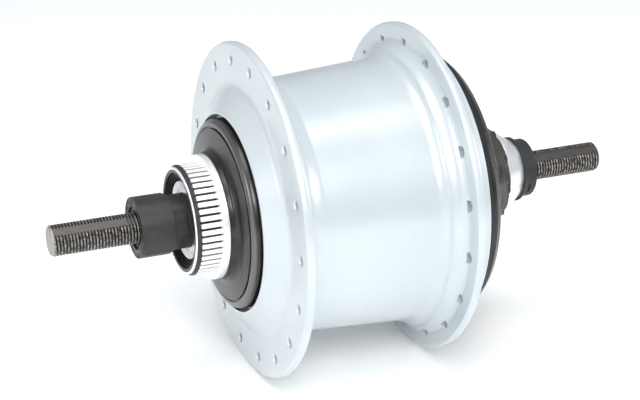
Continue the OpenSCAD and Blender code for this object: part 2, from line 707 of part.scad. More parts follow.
// Ring gear of the reduction stage, which sits on the driver's face
module reduction_ring() color(gear_steel) along_axle() difference() {
    bore(reduction_ring_r, driver_face_y, reduction_small_in + tooth_step);
    gear_space(reduction_ring_teeth, reduction_module, driver_face_y - cut, reduction_small_in + 2 * cut);
}

// Ring gear of the overdrive stage, with its web and the clutch's cam
module output_ring() color(gear_steel) along_axle() {
    difference() {
        bore(overdrive_ring_r, overdrive_middle_in + tooth_step, output_web_out);
        gear_space(
            overdrive_ring_teeth, overdrive_module, overdrive_middle_in - cut, overdrive_small_in + plate_gap);
        bore(overdrive_bore_r, overdrive_small_in, output_web_in);
        bore(running_r, output_web_in - cut, output_web_out + cut);
    }
    difference() {
        translate([0, 0, output_web_out - 0.01]) linear_extrude(clutch_out - output_web_out + 0.01)
            polygon(cam_points);
        bore(clutch_cam_r - 4, output_web_out + 2, clutch_out + cut);
        bore(running_r, output_web_in, clutch_out + cut);
    }
    ring(running_r, running_r + 2.5, output_web_out, output_hub_out);
}

// The cam falls away from each roller's place, so that the rollers wedge one way only
cam_steps = 6;
cam_points = [for (i = [0:clutch_roller_count - 1], j = [0:cam_steps - 1])
    polar(clutch_cam_r - 0.5 * j / cam_steps, (i + j / cam_steps) * 360 / clutch_roller_count)];

module clutch_rollers() color(steel_bright) along_axle() for (i = [0:clutch_roller_count - 1])
    rotate(360 * (i + 0.02) / clutch_roller_count) translate([clutch_ring_r, 0, clutch_in + 0.5])
        cylinder(r = clutch_roller_r, h = clutch_roller_length, $fn = 48);

module clutch_cage() color(gear_steel) along_axle() difference() {
    ring(clutch_cam_r + 0.4, clutch_race_in - 0.4, clutch_in, clutch_out);
    for (i = [0:clutch_roller_count - 1])
        rotate(360 * (i + 0.02) / clutch_roller_count) translate([clutch_ring_r, 0, clutch_in + 0.35])
            cylinder(r = clutch_roller_r + 0.15, h = clutch_roller_length + 0.3, $fn = 48);
}

module clutch_race() color(steel_bright) along_axle()
    ring(clutch_race_in, clutch_race_out, clutch_in, cup_cavity_y);

// Shift sleeve on the axle's body, with two windows, and its return spring
module shift_sleeve() color(gear_steel) along_axle() difference() {
    ring(running_r, sleeve_r, sleeve_right, sleeve_left);
    for (side = [0, 180]) rotate(side)
        translate([running_r - cut, -sleeve_window / 2, spring_out + 1.5])
            cube([sleeve_t + 2 * cut, sleeve_window, sleeve_window]);
}

module sleeve_return_spring() color(steel_black) along_axle()
    ring(sleeve_r + 0.25, sleeve_r + 0.25 + return_spring_t, spring_in, spring_out);

// Shell: drum, two spoke flanges and the mouths that take the cups
module hub_shell() color(shell_paint) along_axle() difference() {
    turned(concat(
        [[mouth_bore_r, mouth_y - 0.3], [mouth_bore_r + 0.2, mouth_y], [mouth_r, mouth_y - 0.3]],
        curve([cone_foot_r - 2, left_face + 1.3], [cone_foot_r - 0.4, left_face], [cone_foot_r + 1.5, left_face], 4),
        arc([flange_r - flange_edge, left_face - flange_edge], flange_edge, 90, 0, 5),
        arc([flange_r - flange_edge, left_back + flange_edge], flange_edge, 0, -90, 5),
        curve([cove_left_r, left_back], [drum_left_r + 1, left_back - 1], [drum_left_r, drum_left_y]),
        curve([drum_right_r, drum_right_y], [drum_right_r + 0.3, drum_right_y - 2.4],
            [shoulder_r - 0.8, drum_right_y - 3.2]),
        curve([shoulder_r, drum_right_y - 3.8], [shoulder_r, right_back + 1.2], [shoulder_r + 3, right_back]),
        arc([flange_r - flange_edge, right_back - flange_edge], flange_edge, 90, 0, 5),
        arc([flange_r - flange_edge, right_face + flange_edge], flange_edge, 0, -90, 5),
        curve([right_rim_r + 3.2, right_face], [right_rim_r + 0.4, right_face], [right_rim_r + 0.3, right_face - 2], 4),
        [[right_rim_r, right_rim_y + 0.5], [right_rim_r - 0.5, right_rim_y],
         [cup_thread_r, right_rim_y], [cup_thread_r, right_rim_y + 4.5],
         [drum_bore_r, right_rim_y + 5.1], [drum_bore_r, left_back - 4.4],
         [drum_bore_r - 4.4, left_back - 0.9], [cup_barrel_r + 0.1, left_back + 0.7],
         [cup_barrel_r + 0.1, cup_flange_in], [mouth_bore_r, cup_flange_in]]));
    spoke_holes(left_flange_y, spoke_turn);
    spoke_holes(right_flange_y, spoke_turn + spoke_step / 2);
}

module spoke_holes(y, turn) for (i = [0:spokes_per_flange - 1])
    rotate(turn + i * spoke_step) translate([spoke_circle_d / 2, 0, y - flange_t])
        cylinder(d = spoke_hole_d, h = 2 * flange_t, $fn = 24);

// Left cup: nose, brake spline, disc, a flange in the shell's mouth and a barrel for the clutch
module left_hub_cup() color(steel_bright) along_axle() difference() {
    turned(concat(
        [[seal_r, cup_out], [spline_root_r - 0.3, cup_out], [spline_r - 0.3, spline_out],
         [spline_r, spline_out - 0.4], [spline_r, spline_y], [disc_r, spline_y], [disc_r, disc_in],
         [cup_neck_r, disc_in], [cup_neck_r, cup_flange_out], [cup_flange_r, cup_flange_out],
         [cup_flange_r, cup_flange_in], [cup_barrel_r, cup_flange_in], [cup_barrel_r, clutch_in],
         [clutch_race_out + press_gap, clutch_in], [clutch_race_out + press_gap, cup_cavity_y],
         [left_ball_ring_r - left_race_r + 1.6, cup_cavity_y],
         [left_ball_ring_r - left_race_r + 1.6, left_ball_y - left_race_r - 0.4]],
        arc([left_ball_ring_r, left_ball_y], left_race_r, -65, 0),
        [[seal_r, left_ball_y + 0.5]]));
    for (i = [0:spline_teeth - 1]) rotate(360 * i / spline_teeth) spline_groove();
}

// One groove between two teeth, open to the nose and closed by the disc
module spline_groove() {
    half = 180 / spline_teeth * spline_groove_share;
    translate([0, 0, spline_y]) linear_extrude(spline_length + cut) polygon([
        polar(spline_root_r, -half * 0.7), polar(spline_r + 1, -half * 1.3),
        polar(spline_r + 1, half * 1.3), polar(spline_root_r, half * 0.7)
    ]);
}

module left_seal() color(rubber_black) along_axle() turned([
    [left_cap_d / 2 + 0.4, left_cap_y - 1.6], [seal_r - press_gap, left_cap_y - 1.6],
    [seal_r - press_gap, cup_out - 0.8], [seal_r - 0.7, cup_out - 0.8],
    [seal_r - 1.1, cup_out - 1.6], [left_cap_d / 2 + 0.4, cup_out - 1.9]
]);

// Left dust cover: a hollow pressing with a rounded rim, a grooved face and a neck, on the cup's flange
module left_dust_cover() color(gunmetal) along_axle() turned(concat(
    [[left_cover_r, cup_flange_out]],
    curve([left_cover_r, left_cover_face_y - 2.3], [left_cover_r - 0.2, left_cover_face_y - 0.4],
        [left_cover_face_r + 0.5, left_cover_face_y - 0.3]),
    [[left_cover_face_r + 0.4, left_cover_face_y - 0.7], [left_cover_face_r, left_cover_face_y - 0.7],
     [left_cover_face_r, left_cover_face_y], [left_cover_neck_r + 1.2, left_cover_face_y + 0.9],
     [left_cover_neck_r, left_cover_face_y + 1.9], [left_cover_neck_r, disc_in - 0.4],
     [cup_neck_r + press_gap, disc_in - 0.1], [cup_neck_r + press_gap, left_cover_face_y + 0.6],
     [left_cover_neck_r + 1, left_cover_face_y - 0.3], [left_cover_face_r - 0.6, left_cover_face_y - 1.4],
     [left_cover_r - left_cover_t, left_cover_face_y - 3], [left_cover_r - left_cover_t, cup_flange_out]]));

// Right ball cup, screwed into the shell, and the black seal between them
module right_ball_cup() color(gunmetal) along_axle() turned(concat(
    [[driver_flange_r + 0.5, right_rim_y + 4], [cup_thread_r - press_gap, right_rim_y + 4],
     [cup_thread_r - press_gap, right_seal_out], [right_cup_r - 0.3, right_seal_out],
     [right_cup_r, right_seal_out - 0.4], [right_cup_r, right_seal_out - 1.3],
     [right_cup_r - 0.8, right_seal_out - 1.7], [right_cup_r - 0.8, right_seal_out - 2],
     [right_cup_face_r + 0.8, right_cup_face_y + 0.5],
     [right_cup_face_r, right_cup_face_y], [right_cup_lip_r, right_cup_face_y]],
    arc([shell_ball_ring_r, shell_ball_y], shell_race_r, -acos((right_cup_lip_r - shell_ball_ring_r) / shell_race_r), 0),
    [[shell_ball_ring_r + shell_race_r, shell_ball_y + 1.5], [driver_flange_r + 0.5, shell_ball_y + 1.5]]));

module right_seal() color(rubber_black) along_axle() turned([
    [cup_thread_r + press_gap, right_seal_out], [right_seal_r - 1.4, right_seal_out],
    [right_seal_r - 0.4, right_seal_out + 0.7], [right_seal_r, right_rim_y - 0.6],
    [right_seal_r - 0.2, right_rim_y], [cup_thread_r + press_gap, right_rim_y]
]);

// Driver: nose with lugs, sprocket seat, barrel, rim for the shell's balls and a flange
module driver() color(steel_grey) along_axle() {
    turned(concat(
        [[driver_bore_r, driver_face_y], [driver_flange_r, driver_face_y],
         [driver_flange_r, shell_ball_y + shell_race_r]],
        arc([shell_ball_ring_r, shell_ball_y], shell_race_r, 90, 180),
        [[driver_rim_r, driver_rim_out], [driver_rim_r - 2.4, driver_rim_out],
         [driver_rim_r - 2.4, shell_ball_y + shell_race_r], [driver_barrel_r, shell_ball_y + shell_race_r],
         [driver_barrel_r, seat_in + driver_shoulder_t], [driver_shoulder_r, seat_in + driver_shoulder_t],
         [driver_shoulder_r, seat_in], [sprocket_seat_r, seat_in], [sprocket_seat_r, seat_out],
         [driver_nose_r + 1.6, seat_out], [driver_nose_r + 1.6, seat_out - 1.7],
         [driver_nose_r, seat_out - 1.7], [driver_nose_r, driver_end_y],
         [driver_ball_ring_r + driver_race_r - 0.3, driver_end_y],
         [driver_ball_ring_r + driver_race_r, driver_end_y + 0.4]],
        arc([driver_ball_ring_r, driver_ball_y], driver_race_r, 0, 65),
        [[driver_bore_r, driver_ball_y + driver_race_r + 0.2]]));
    intersection() {
        for (i = [0:driver_lugs - 1]) rotate(driver_lug_turn + 360 * i / driver_lugs)
            translate([driver_lug_ring_r, 0, driver_end_y]) cylinder(d = driver_lug_d, h = 1.9, $fn = 24);
        ring(driver_ball_ring_r + driver_race_r, driver_nose_r + driver_lug_d,
            driver_end_y - cut, driver_end_y + 3);
    }
}

module driver_dust_cap() color(steel_grey) along_axle() turned([
    [driver_rim_r - 2.4, dust_cap_in], [dust_cap_r, dust_cap_in], [dust_cap_r, dust_cap_out],
    [dust_cap_r - 3, dust_cap_out], [dust_cap_r - 4.2, dust_cap_out - 2.4],
    [dust_cap_r - 5, dust_cap_out - 2.4], [driver_shoulder_r + 3.9, seat_in + 3],
    [driver_shoulder_r + 3.1, seat_in + 3], [driver_shoulder_r + 1.4, seat_in + 1.2],
    [driver_shoulder_r + press_gap, seat_in + 0.4],
    [driver_shoulder_r + press_gap, seat_in + driver_shoulder_t],
    [driver_shoulder_r + 2.2, seat_in + 3.9]
]);

// Bearings
module left_balls() color(steel_bright) along_axle()
    balls(left_ball_count, left_ball_ring_r, left_ball_r, left_ball_y);

module left_ball_cage() color(gear_steel) along_axle()
    ball_cage(left_ball_count, left_ball_ring_r, left_ball_r, left_ball_y,
        left_ball_ring_r - 0.5, left_ball_ring_r + left_race_r - 0.4,
        left_ball_y + 0.9, left_ball_y + left_ball_r - 0.6);

module driver_balls() color(steel_bright) along_axle()
    balls(driver_ball_count, driver_ball_ring_r, driver_ball_r, driver_ball_y);

module driver_ball_cage() color(gear_steel) along_axle()
    ball_cage(driver_ball_count, driver_ball_ring_r, driver_ball_r, driver_ball_y,
        driver_ball_ring_r + 0.2, driver_ball_ring_r + driver_race_r - 0.4,
        driver_ball_y - driver_ball_r, driver_ball_y - 1);

module shell_balls() color(steel_bright) along_axle()
    balls(shell_ball_count, shell_ball_ring_r, shell_ball_r, shell_ball_y);

module shell_ball_cage() color(gear_steel) along_axle()
    ball_cage(shell_ball_count, shell_ball_ring_r, shell_ball_r, shell_ball_y,
        shell_ball_ring_r - shell_race_r + 0.3, shell_ball_ring_r + 0.6,
        shell_ball_y - shell_ball_r - 0.1, shell_ball_y - 1.1);

axle();
left_locknut();
left_washer();
left_cone();
left_cone_cap();
right_locknut();
right_tab_washer();
right_cone();
reduction_sun();
overdrive_sun_large();
sun_pawls();
shift_sleeve();
sleeve_return_spring();
hub_shell();
left_hub_cup();
left_dust_cover();
left_seal();
clutch_race();
right_ball_cup();
right_seal();
driver();
driver_dust_cap();
reduction_ring();
reduction_carrier();
overdrive_carrier();
reduction_pins();
overdrive_pins();
reduction_planet(0);  // reduction_planet_1
reduction_planet(1);  // reduction_planet_2
reduction_planet(2);  // reduction_planet_3
reduction_planet(3);  // reduction_planet_4
overdrive_planet(0);  // overdrive_planet_1
overdrive_planet(1);  // overdrive_planet_2
overdrive_planet(2);  // overdrive_planet_3
overdrive_planet(3);  // overdrive_planet_4
overdrive_sun_small();
overdrive_sun_middle();
output_ring();
clutch_rollers();
clutch_cage();
left_balls();
left_ball_cage();
driver_balls();
driver_ball_cage();
shell_balls();
shell_ball_cage();
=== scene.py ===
"""Surfaces, threads, teeth and studio light for the internal gear hub.

Lengths are in mm until a mesh is made.
"""
import json
import math

import bmesh
import bpy
from mathutils import Matrix, Vector


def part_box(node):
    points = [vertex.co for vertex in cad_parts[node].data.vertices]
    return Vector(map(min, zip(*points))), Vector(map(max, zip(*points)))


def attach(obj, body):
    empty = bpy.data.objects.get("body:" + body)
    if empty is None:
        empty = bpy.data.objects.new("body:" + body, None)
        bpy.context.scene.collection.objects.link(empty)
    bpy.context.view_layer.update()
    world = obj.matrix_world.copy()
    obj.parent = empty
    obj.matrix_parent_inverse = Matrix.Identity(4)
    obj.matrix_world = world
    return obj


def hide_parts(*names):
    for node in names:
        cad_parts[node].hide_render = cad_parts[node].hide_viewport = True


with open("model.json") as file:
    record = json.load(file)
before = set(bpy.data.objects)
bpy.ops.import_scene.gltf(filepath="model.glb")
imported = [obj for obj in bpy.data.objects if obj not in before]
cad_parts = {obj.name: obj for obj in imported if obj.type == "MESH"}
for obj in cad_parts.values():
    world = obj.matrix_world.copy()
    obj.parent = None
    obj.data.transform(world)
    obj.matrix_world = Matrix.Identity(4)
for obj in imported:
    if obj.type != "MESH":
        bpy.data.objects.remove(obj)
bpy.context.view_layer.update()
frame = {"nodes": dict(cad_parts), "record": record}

# Units and smoothness
MM = 0.001
TURN_STEPS = 192
FILLET_STEPS = 4
CURVE_STEPS = 18
SHARP_ANGLE = math.radians(31)


def reach(node):
    """Lowest and highest place of a node along the axle, and its largest radius."""
    low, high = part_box(node)
    return low.y / MM, high.y / MM, max(high.x, high.z) / MM


# Driving sizes, as far as a node's box gives them
AXLE_LOW, AXLE_TIP, _ = reach("axle")
LEFT_NUT_IN, NUT_FACE, NUT_R = reach("left_locknut")
_, RIGHT_NUT_IN, _ = reach("right_locknut")
LEFT_WASHER_IN, LEFT_WASHER_OUT, LEFT_WASHER_R = reach("left_washer")
RIGHT_WASHER_OUT, RIGHT_WASHER_IN, _ = reach("right_tab_washer")
LEFT_CONE_IN, LEFT_CONE_OUT, _ = reach("left_cone")
CAP_IN, CAP_OUT, CAP_R = reach("left_cone_cap")
RIGHT_CONE_OUT, RIGHT_CONE_IN, RIGHT_CONE_R = reach("right_cone")
SEAL_IN, SEAL_OUT, SEAL_R = reach("left_seal")
CUP_IN, CUP_OUT, CUP_FLANGE_R = reach("left_hub_cup")
COVER_IN, COVER_OUT, COVER_R = reach("left_dust_cover")
SHELL_LOW, MOUTH_OUT, FLANGE_R = reach("hub_shell")
RIGHT_SEAL_OUT, RIGHT_SEAL_IN, RIGHT_SEAL_R = reach("right_seal")
RIGHT_CUP_OUT, RIGHT_CUP_IN, RIGHT_CUP_R = reach("right_ball_cup")
_, DUST_CAP_IN, DUST_CAP_R = reach("driver_dust_cap")
_, DRIVER_IN, DRIVER_R = reach("driver")

# Axle
AXLE_R = 9.525 / 2
THREAD_PITCH = 25.4 / 26
THREAD_ROOT_R = AXLE_R - 0.24
THREAD_START = NUT_FACE - 0.7
FLAT_HALF = 8.78 / 2
FLAT_TURN = 55
LEFT_STUB = 2.4
RIGHT_STUB = 0.4
AXLE_BODY_R = 6.4
AXLE_CORE_R = 4.385
TIP_CHAMFER = 0.6

# Shell
MOUTH_BORE_R = 30.45
LEFT_FACE = 30.8
LEFT_BACK = 27.9
RIGHT_FACE = -25.9
RIGHT_BACK = -23.0
RIM_EDGE = 1.1
DRUM_LEFT = (39.4, 19.0)
DRUM_RIGHT = (41.7, -15.2)
DRUM_BORE_R = 37.4
SPOKE_CIRCLE_R = 46.3
SPOKE_HOLE_R = 1.45
SPOKE_SINK = 0.4
SPOKES = 18
SPOKE_TURN = 2.7

# Brake spline
SPLINE_TEETH = 50
SPLINE_R = 17.3
SPLINE_ROOT_R = 16.4
SPLINE_IN = 44.1
SPLINE_OUT = 50.2
TOOTH_SHARE = 0.67
NOSE_BORE_R = 14.6
# Inside this radius the nose lip is painted dark as painted shade, leaving a thin bright edge.
LIP_SHADE_EDGE_R = 15.7
COVER_RIM_R = 27.0

# Driver
DRIVER_END = -53.2
LUGS = 9
LUG_TURN = 18
LUG_RING_R = 13.85
LUG_R = 1.6


# Node trees

class Value:
    """A number in a node tree. Arithmetic on it adds Math nodes."""

    def __init__(self, socket):
        self.socket = socket
        self.tree = socket.id_data

    def math(self, operation, *values, clamp=False):
        node = self.tree.nodes.new("ShaderNodeMath")
        node.operation = operation
        node.use_clamp = clamp
        for place, value in zip(node.inputs, values):
            feed(place, value)
        return Value(node.outputs[0])

    def __add__(self, other):
        return self.math("ADD", self, other)

    __radd__ = __add__

    def __sub__(self, other):
        return self.math("SUBTRACT", self, other)

    def __rsub__(self, other):
        return self.math("SUBTRACT", other, self)

    def __mul__(self, other):
        return self.math("MULTIPLY", self, other)

    __rmul__ = __mul__

    def __truediv__(self, other):
        return self.math("DIVIDE", self, other)

    def __rtruediv__(self, other):
        return self.math("DIVIDE", other, self)

    def __pow__(self, other):
        return self.math("POWER", self, other)

    def __abs__(self):
        return self.math("ABSOLUTE", self)

    def least(self, other):
        return self.math("MINIMUM", self, other)

    def most(self, other):
        return self.math("MAXIMUM", self, other)

    def over(self, other):
        """1 where this is more than other, else 0."""
        return self.math("GREATER_THAN", self, other)

    def fraction(self):
        return self.math("FRACT", self)

    def cos(self):
        return self.math("COSINE", self)

    def sin(self):
        return self.math("SINE", self)

    def ramp(self, low, high):
        """Rises from 0 at low to 1 at high."""
        return self.math("MULTIPLY", self - low, 1 / (high - low), clamp=True)


def feed(place, value):
    """Links a value to a node's socket, or writes a constant on it."""
    if isinstance(value, Value):
        value = value.socket
    if isinstance(value, bpy.types.NodeSocket):
        place.id_data.links.new(value, place)
    else:
        place.default_value = value


class Graph:
    """A node tree that is built from one method for any node."""

    def __init__(self, tree):
        self.tree = tree
        tree.nodes.clear()

    def add(self, kind, inputs=None, **settings):
        node = self.tree.nodes.new(kind)
        for name, setting in settings.items():
            setattr(node, name, setting)
        for name, value in (inputs or {}).items():
            feed(node.inputs[name], value)
        return node

    def point(self):
        """Place on the piece in mm, as three values."""
        coordinates = self.add("ShaderNodeTexCoord").outputs["Object"]
        parts = self.add("ShaderNodeSeparateXYZ", {0: coordinates}).outputs
        return [Value(part) * (1 / MM) for part in parts]

    def vector(self, x, y, z):
        return self.add("ShaderNodeCombineXYZ", {0: x, 1: y, 2: z}).outputs[0]

    def noise(self, place, scale, detail=2.0, roughness=0.5):
        texture = self.add("ShaderNodeTexNoise", {
            "Vector": place, "Scale": scale, "Detail": detail, "Roughness": roughness})
        return Value(texture.outputs[0])

    def mix(self, factor, first, second):
        """Blends two colours."""
        return self.add(
            "ShaderNodeMix", {0: factor, 6: first, 7: second}, data_type="RGBA").outputs[2]

    def bump(self, height, distance, strength=1.0):
        return self.add("ShaderNodeBump", {
            "Height": height, "Distance": distance * MM, "Strength": strength}).outputs[0]

    def surface(self, **inputs):
        """Ends a material with one Principled shader. Spaces in socket names are written as underscores."""
        named = {name.replace("_", " "): value for name, value in inputs.items()}
        shader = self.add("ShaderNodeBsdfPrincipled", named)
        self.add("ShaderNodeOutputMaterial", {"Surface": shader.outputs[0]})


def new_finish(name):
    material = bpy.data.materials.new(name)
    material.use_nodes = True
    return material, Graph(material.node_tree)


def colour(red, green, blue):
    return (red, green, blue, 1.0)


# Finishes

def turning_marks(graph, x, y, z, fineness):
    """Fine rings round the axle, as a lathe leaves them."""
    radius = (x * x + z * z) ** 0.5
    across = graph.vector(radius * fineness, y * fineness, 0.0)
    return radius, graph.noise(across, 1.0, 3.0, 0.6)


def turned_metal(name, dark, light, rough, marks=0.0015, metallic=1.0, fineness=9.0, coat=0.0):
    """Metal with turning rings, cloudy tone and a few smears in its gloss."""
    material, graph = new_finish(name)
    x, y, z = graph.point()
    radius, rings = turning_marks(graph, x, y, z, fineness)
    clouds = graph.noise(graph.vector(x, y, z), 0.16, 4.0, 0.6)
    smears = graph.noise(graph.vector(x * 0.3, y * 1.4, z * 0.3), 0.9, 3.0, 0.5)
    tone = (clouds * 0.6 + rings * 0.4).ramp(0.35, 0.65)
    graph.surface(
        Base_Color=graph.mix(tone, dark, light), Metallic=metallic,
        Roughness=rough + (smears - 0.5) * 0.16 + (rings - 0.5) * 0.05,
        Coat_Weight=coat, Coat_Roughness=0.2,
        Normal=graph.bump(rings, marks))
    return material


def pearl_paint():
    """Pale blue-white pearl: a soft base with fine flakes under a clear coat with slight orange peel."""
    material, graph = new_finish("pearl_paint")
    x, y, z = graph.point()
    place = graph.vector(x, y, z)
    clouds = graph.noise(place, 0.035, 2.0, 0.4)
    flakes = graph.noise(place, 9.0, 1.0, 0.5)
    peel = graph.noise(place, 0.9, 2.0, 0.5)
    tone = (clouds * 0.7 + flakes * 0.3).ramp(0.3, 0.7)
    # Inside the mouth bore the colour drops to near black: bare metal, darkened there with painted shade.
    outside_shaded_bore = ((x * x + z * z) ** 0.5).ramp(MOUTH_BORE_R + 0.05, MOUTH_BORE_R + 0.15)
    paint = graph.mix(tone, colour(0.54, 0.60, 0.625), colour(0.62, 0.67, 0.69))
    graph.surface(
        Base_Color=graph.mix(outside_shaded_bore, colour(0.06, 0.06, 0.065), paint),
        Metallic=0.25, Roughness=0.3 + (flakes - 0.5) * 0.12,
        Coat_Weight=outside_shaded_bore * 0.5, Coat_Roughness=0.14,
        Normal=graph.bump(peel, 0.006))
    return material


def worn_axle_steel():
    """Brown-grey steel: bright worn crests, dark dirt in the roots, smooth flats and pale chamfered tips."""
    material, graph = new_finish("worn_axle_steel")
    x, y, z = graph.point()
    radius, rings = turning_marks(graph, x, y, z, 6.0)
    wear = graph.noise(graph.vector(x, y, z), 0.9, 6.0, 0.7)
    scuffs = graph.noise(graph.vector(x * 0.9, y * 0.22, z * 0.9), 1.6, 4.0, 0.7)
    turn = math.radians(FLAT_TURN)
    across = abs(x * math.cos(turn) - z * math.sin(turn))
    flat = across.ramp(FLAT_HALF - 0.04, FLAT_HALF - 0.015) * abs(y).over(NUT_FACE + 0.3)
    tip = abs(y).ramp(AXLE_TIP - TIP_CHAMFER - 0.1, AXLE_TIP - TIP_CHAMFER + 0.1)
    crest = radius.ramp(AXLE_R - 0.13, AXLE_R - 0.04) * wear.ramp(0.42, 0.6)
    root = radius.ramp(THREAD_ROOT_R + 0.01, THREAD_ROOT_R + 0.14) * wear.ramp(0.2, 0.5)
    body = graph.mix(scuffs.ramp(0.35, 0.65), colour(0.055, 0.048, 0.043), colour(0.115, 0.103, 0.095))
    dirty = graph.mix(root, colour(0.016, 0.013, 0.012), body)
    threaded = graph.mix(crest * 0.85, dirty, colour(0.45, 0.425, 0.40))
    milled = graph.mix(scuffs.ramp(0.3, 0.7), colour(0.075, 0.068, 0.064), colour(0.115, 0.106, 0.10))
    worn = graph.mix(flat, threaded, milled)
    graph.surface(
        Base_Color=graph.mix(tip, worn, colour(0.36, 0.345, 0.325)),
        Metallic=0.7, Roughness=0.44 + (scuffs - 0.5) * 0.3 - crest * 0.1,
        Normal=graph.bump(scuffs, 0.02))
    return material


def black_oxide(name="black_oxide", highlight_radius=100.0, worn_place=200.0, bare_or_highlight_tone=0.33):
    """Satin black steel with faint scuffs, rubbed bare beyond a place along the axle, and paler outside a
    radius as a painted highlight.
    """
    material, graph = new_finish(name)
    x, y, z = graph.point()
    radius, rings = turning_marks(graph, x, y, z, 7.0)
    scuffs = graph.noise(graph.vector(x, y * 0.5, z), 0.5, 5.0, 0.65)
    tone = (scuffs * 0.7 + rings * 0.3).ramp(0.3, 0.75)
    # Beyond a place along the axle the steel is rubbed bare; outside a radius the paler tone is a painted
    # highlight.
    bare_or_highlit = radius.ramp(highlight_radius, highlight_radius + 0.1).most(y.ramp(worn_place, worn_place + 0.15))
    black = graph.mix(tone, colour(0.018, 0.018, 0.019), colour(0.04, 0.04, 0.042))
    steel = colour(bare_or_highlight_tone, bare_or_highlight_tone * 0.98, bare_or_highlight_tone * 0.95)
    graph.surface(
        Base_Color=graph.mix(bare_or_highlit * scuffs.ramp(0.3, 0.55), black, steel),
        Metallic=0.2, Roughness=0.46 + (scuffs - 0.5) * 0.18,
        Normal=graph.bump(rings, 0.002))
    return material


def moulded_rubber():
    """Matt black rubber with a little dust."""
    material, graph = new_finish("moulded_rubber")
    x, y, z = graph.point()
    grain = graph.noise(graph.vector(x, y, z), 3.0, 3.0, 0.6)
    dust = graph.noise(graph.vector(x, y, z), 0.3, 4.0, 0.6)
    graph.surface(
        Base_Color=graph.mix(dust.ramp(0.45, 0.8), colour(0.006, 0.006, 0.007), colour(0.016, 0.016, 0.017)),
        Metallic=0.0, Roughness=0.5 + (grain - 0.5) * 0.2, Specular_IOR_Level=0.3,
        Normal=graph.bump(grain, 0.01))
    return material


def splined_silver():
    """Bright silver whose tooth grooves and bore, up to a thin lip, are painted dark as painted shade."""
    material, graph = new_finish("splined_silver")
    x, y, z = graph.point()
    radius, rings = turning_marks(graph, x, y, z, 8.0)
    smears = graph.noise(graph.vector(x, y, z), 0.5, 4.0, 0.6)
    among_teeth = y.over(SPLINE_IN) * (1 - y.over(SPLINE_OUT))
    groove = (1 - radius.ramp(SPLINE_ROOT_R + 0.1, SPLINE_R - 0.25)) * among_teeth
    silver_tone = graph.mix(smears.ramp(0.35, 0.7), colour(0.95, 0.955, 0.96), colour(0.99, 0.99, 0.99))
    # Grooves between the teeth and the bore inside the lip get painted shade.
    groove_and_bore_shade = groove.most((1 - radius.ramp(LIP_SHADE_EDGE_R - 0.05, LIP_SHADE_EDGE_R + 0.05)) * y.over(SPLINE_IN))
    graph.surface(
        Base_Color=graph.mix(groove_and_bore_shade, silver_tone, colour(0.03, 0.028, 0.027)),
        Metallic=0.6, Roughness=0.34 + (smears - 0.5) * 0.14 + groove * 0.25,
        Normal=graph.bump(rings, 0.001))
    return material


def rimmed_gunmetal():
    """Dark plate whose rounded rim is painted paler than its face, as a painted highlight."""
    material, graph = new_finish("rimmed_gunmetal")
    x, y, z = graph.point()
    radius, rings = turning_marks(graph, x, y, z, 9.0)
    clouds = graph.noise(graph.vector(x, y, z), 0.16, 4.0, 0.6)
    # The rounded rim is painted paler than the face: a painted highlight.
    rim_highlight = radius.ramp(COVER_RIM_R, COVER_RIM_R + 0.3) * (1 - radius.ramp(COVER_R - 0.5, COVER_R - 0.1))
    plate = graph.mix(clouds.ramp(0.35, 0.65), colour(0.034, 0.032, 0.033), colour(0.056, 0.053, 0.055))
    graph.surface(
        Base_Color=graph.mix(rim_highlight, plate, colour(0.15, 0.142, 0.138)),
        Metallic=0.75, Roughness=0.28 + (rings - 0.5) * 0.05,
        Normal=graph.bump(rings, 0.0015))
    return material


FINISHES = {
    "shell_paint": pearl_paint(),
    "axle_steel": worn_axle_steel(),
    "black_steel": black_oxide(),
    "seal_rubber": moulded_rubber(),
    "bright_steel": turned_metal(
        "turned_silver", colour(0.88, 0.885, 0.90), colour(0.95, 0.955, 0.965), 0.32, metallic=0.7),
    "gunmetal": turned_metal(
        "gunmetal_plate", colour(0.034, 0.032, 0.033), colour(0.056, 0.053, 0.055), 0.28, metallic=0.75),
    "driver_steel": turned_metal(
        "browned_steel", colour(0.085, 0.079, 0.074), colour(0.16, 0.15, 0.141), 0.3, metallic=0.9),
    "gear_steel": turned_metal(
        "oiled_gear_steel", colour(0.40, 0.39, 0.38), colour(0.52, 0.515, 0.50), 0.28, coat=0.2),
    "carrier_steel": turned_metal(
        "sintered_steel", colour(0.22, 0.215, 0.21), colour(0.30, 0.295, 0.285), 0.42),
    "spring_steel": turned_metal(
        "blued_spring_steel", colour(0.035, 0.04, 0.055), colour(0.07, 0.075, 0.09), 0.3),
}
SPLINED_SILVER = splined_silver()
RIMMED_GUNMETAL = rimmed_gunmetal()
# The cone's dished cap gets a darker copy of the turned silver: the lower base colour is painted shade.
SHADED_DISH_SILVER = turned_metal(
    "dish_silver_painted_shade", colour(0.50, 0.50, 0.51), colour(0.64, 0.64, 0.65), 0.28, metallic=0.95)


# Mesh makers

def new_piece(name, vertices, faces):
    """A piece from points in mm, with its faces turned outwards."""
    mesh = bpy.data.meshes.new(name)
    mesh.from_pydata([Vector(v) * MM for v in vertices], [], faces)
    tidy_mesh(mesh)
    piece = bpy.data.objects.new(name, mesh)
    bpy.context.scene.collection.objects.link(piece)
    return piece


def tidy_mesh(mesh, close_holes=False):
    """Merges doubles, closes open ends if asked, and turns the faces outwards."""
    form = bmesh.new()
    form.from_mesh(mesh)
    bmesh.ops.remove_doubles(form, verts=form.verts, dist=0.0005 * MM)
    bmesh.ops.dissolve_degenerate(form, edges=form.edges, dist=0.0005 * MM)
    if close_holes:
        open_edges = [edge for edge in form.edges if edge.is_boundary]
        bmesh.ops.holes_fill(form, edges=open_edges, sides=0)
    bmesh.ops.recalc_face_normals(form, faces=form.faces)
    form.to_mesh(mesh)
    form.free()


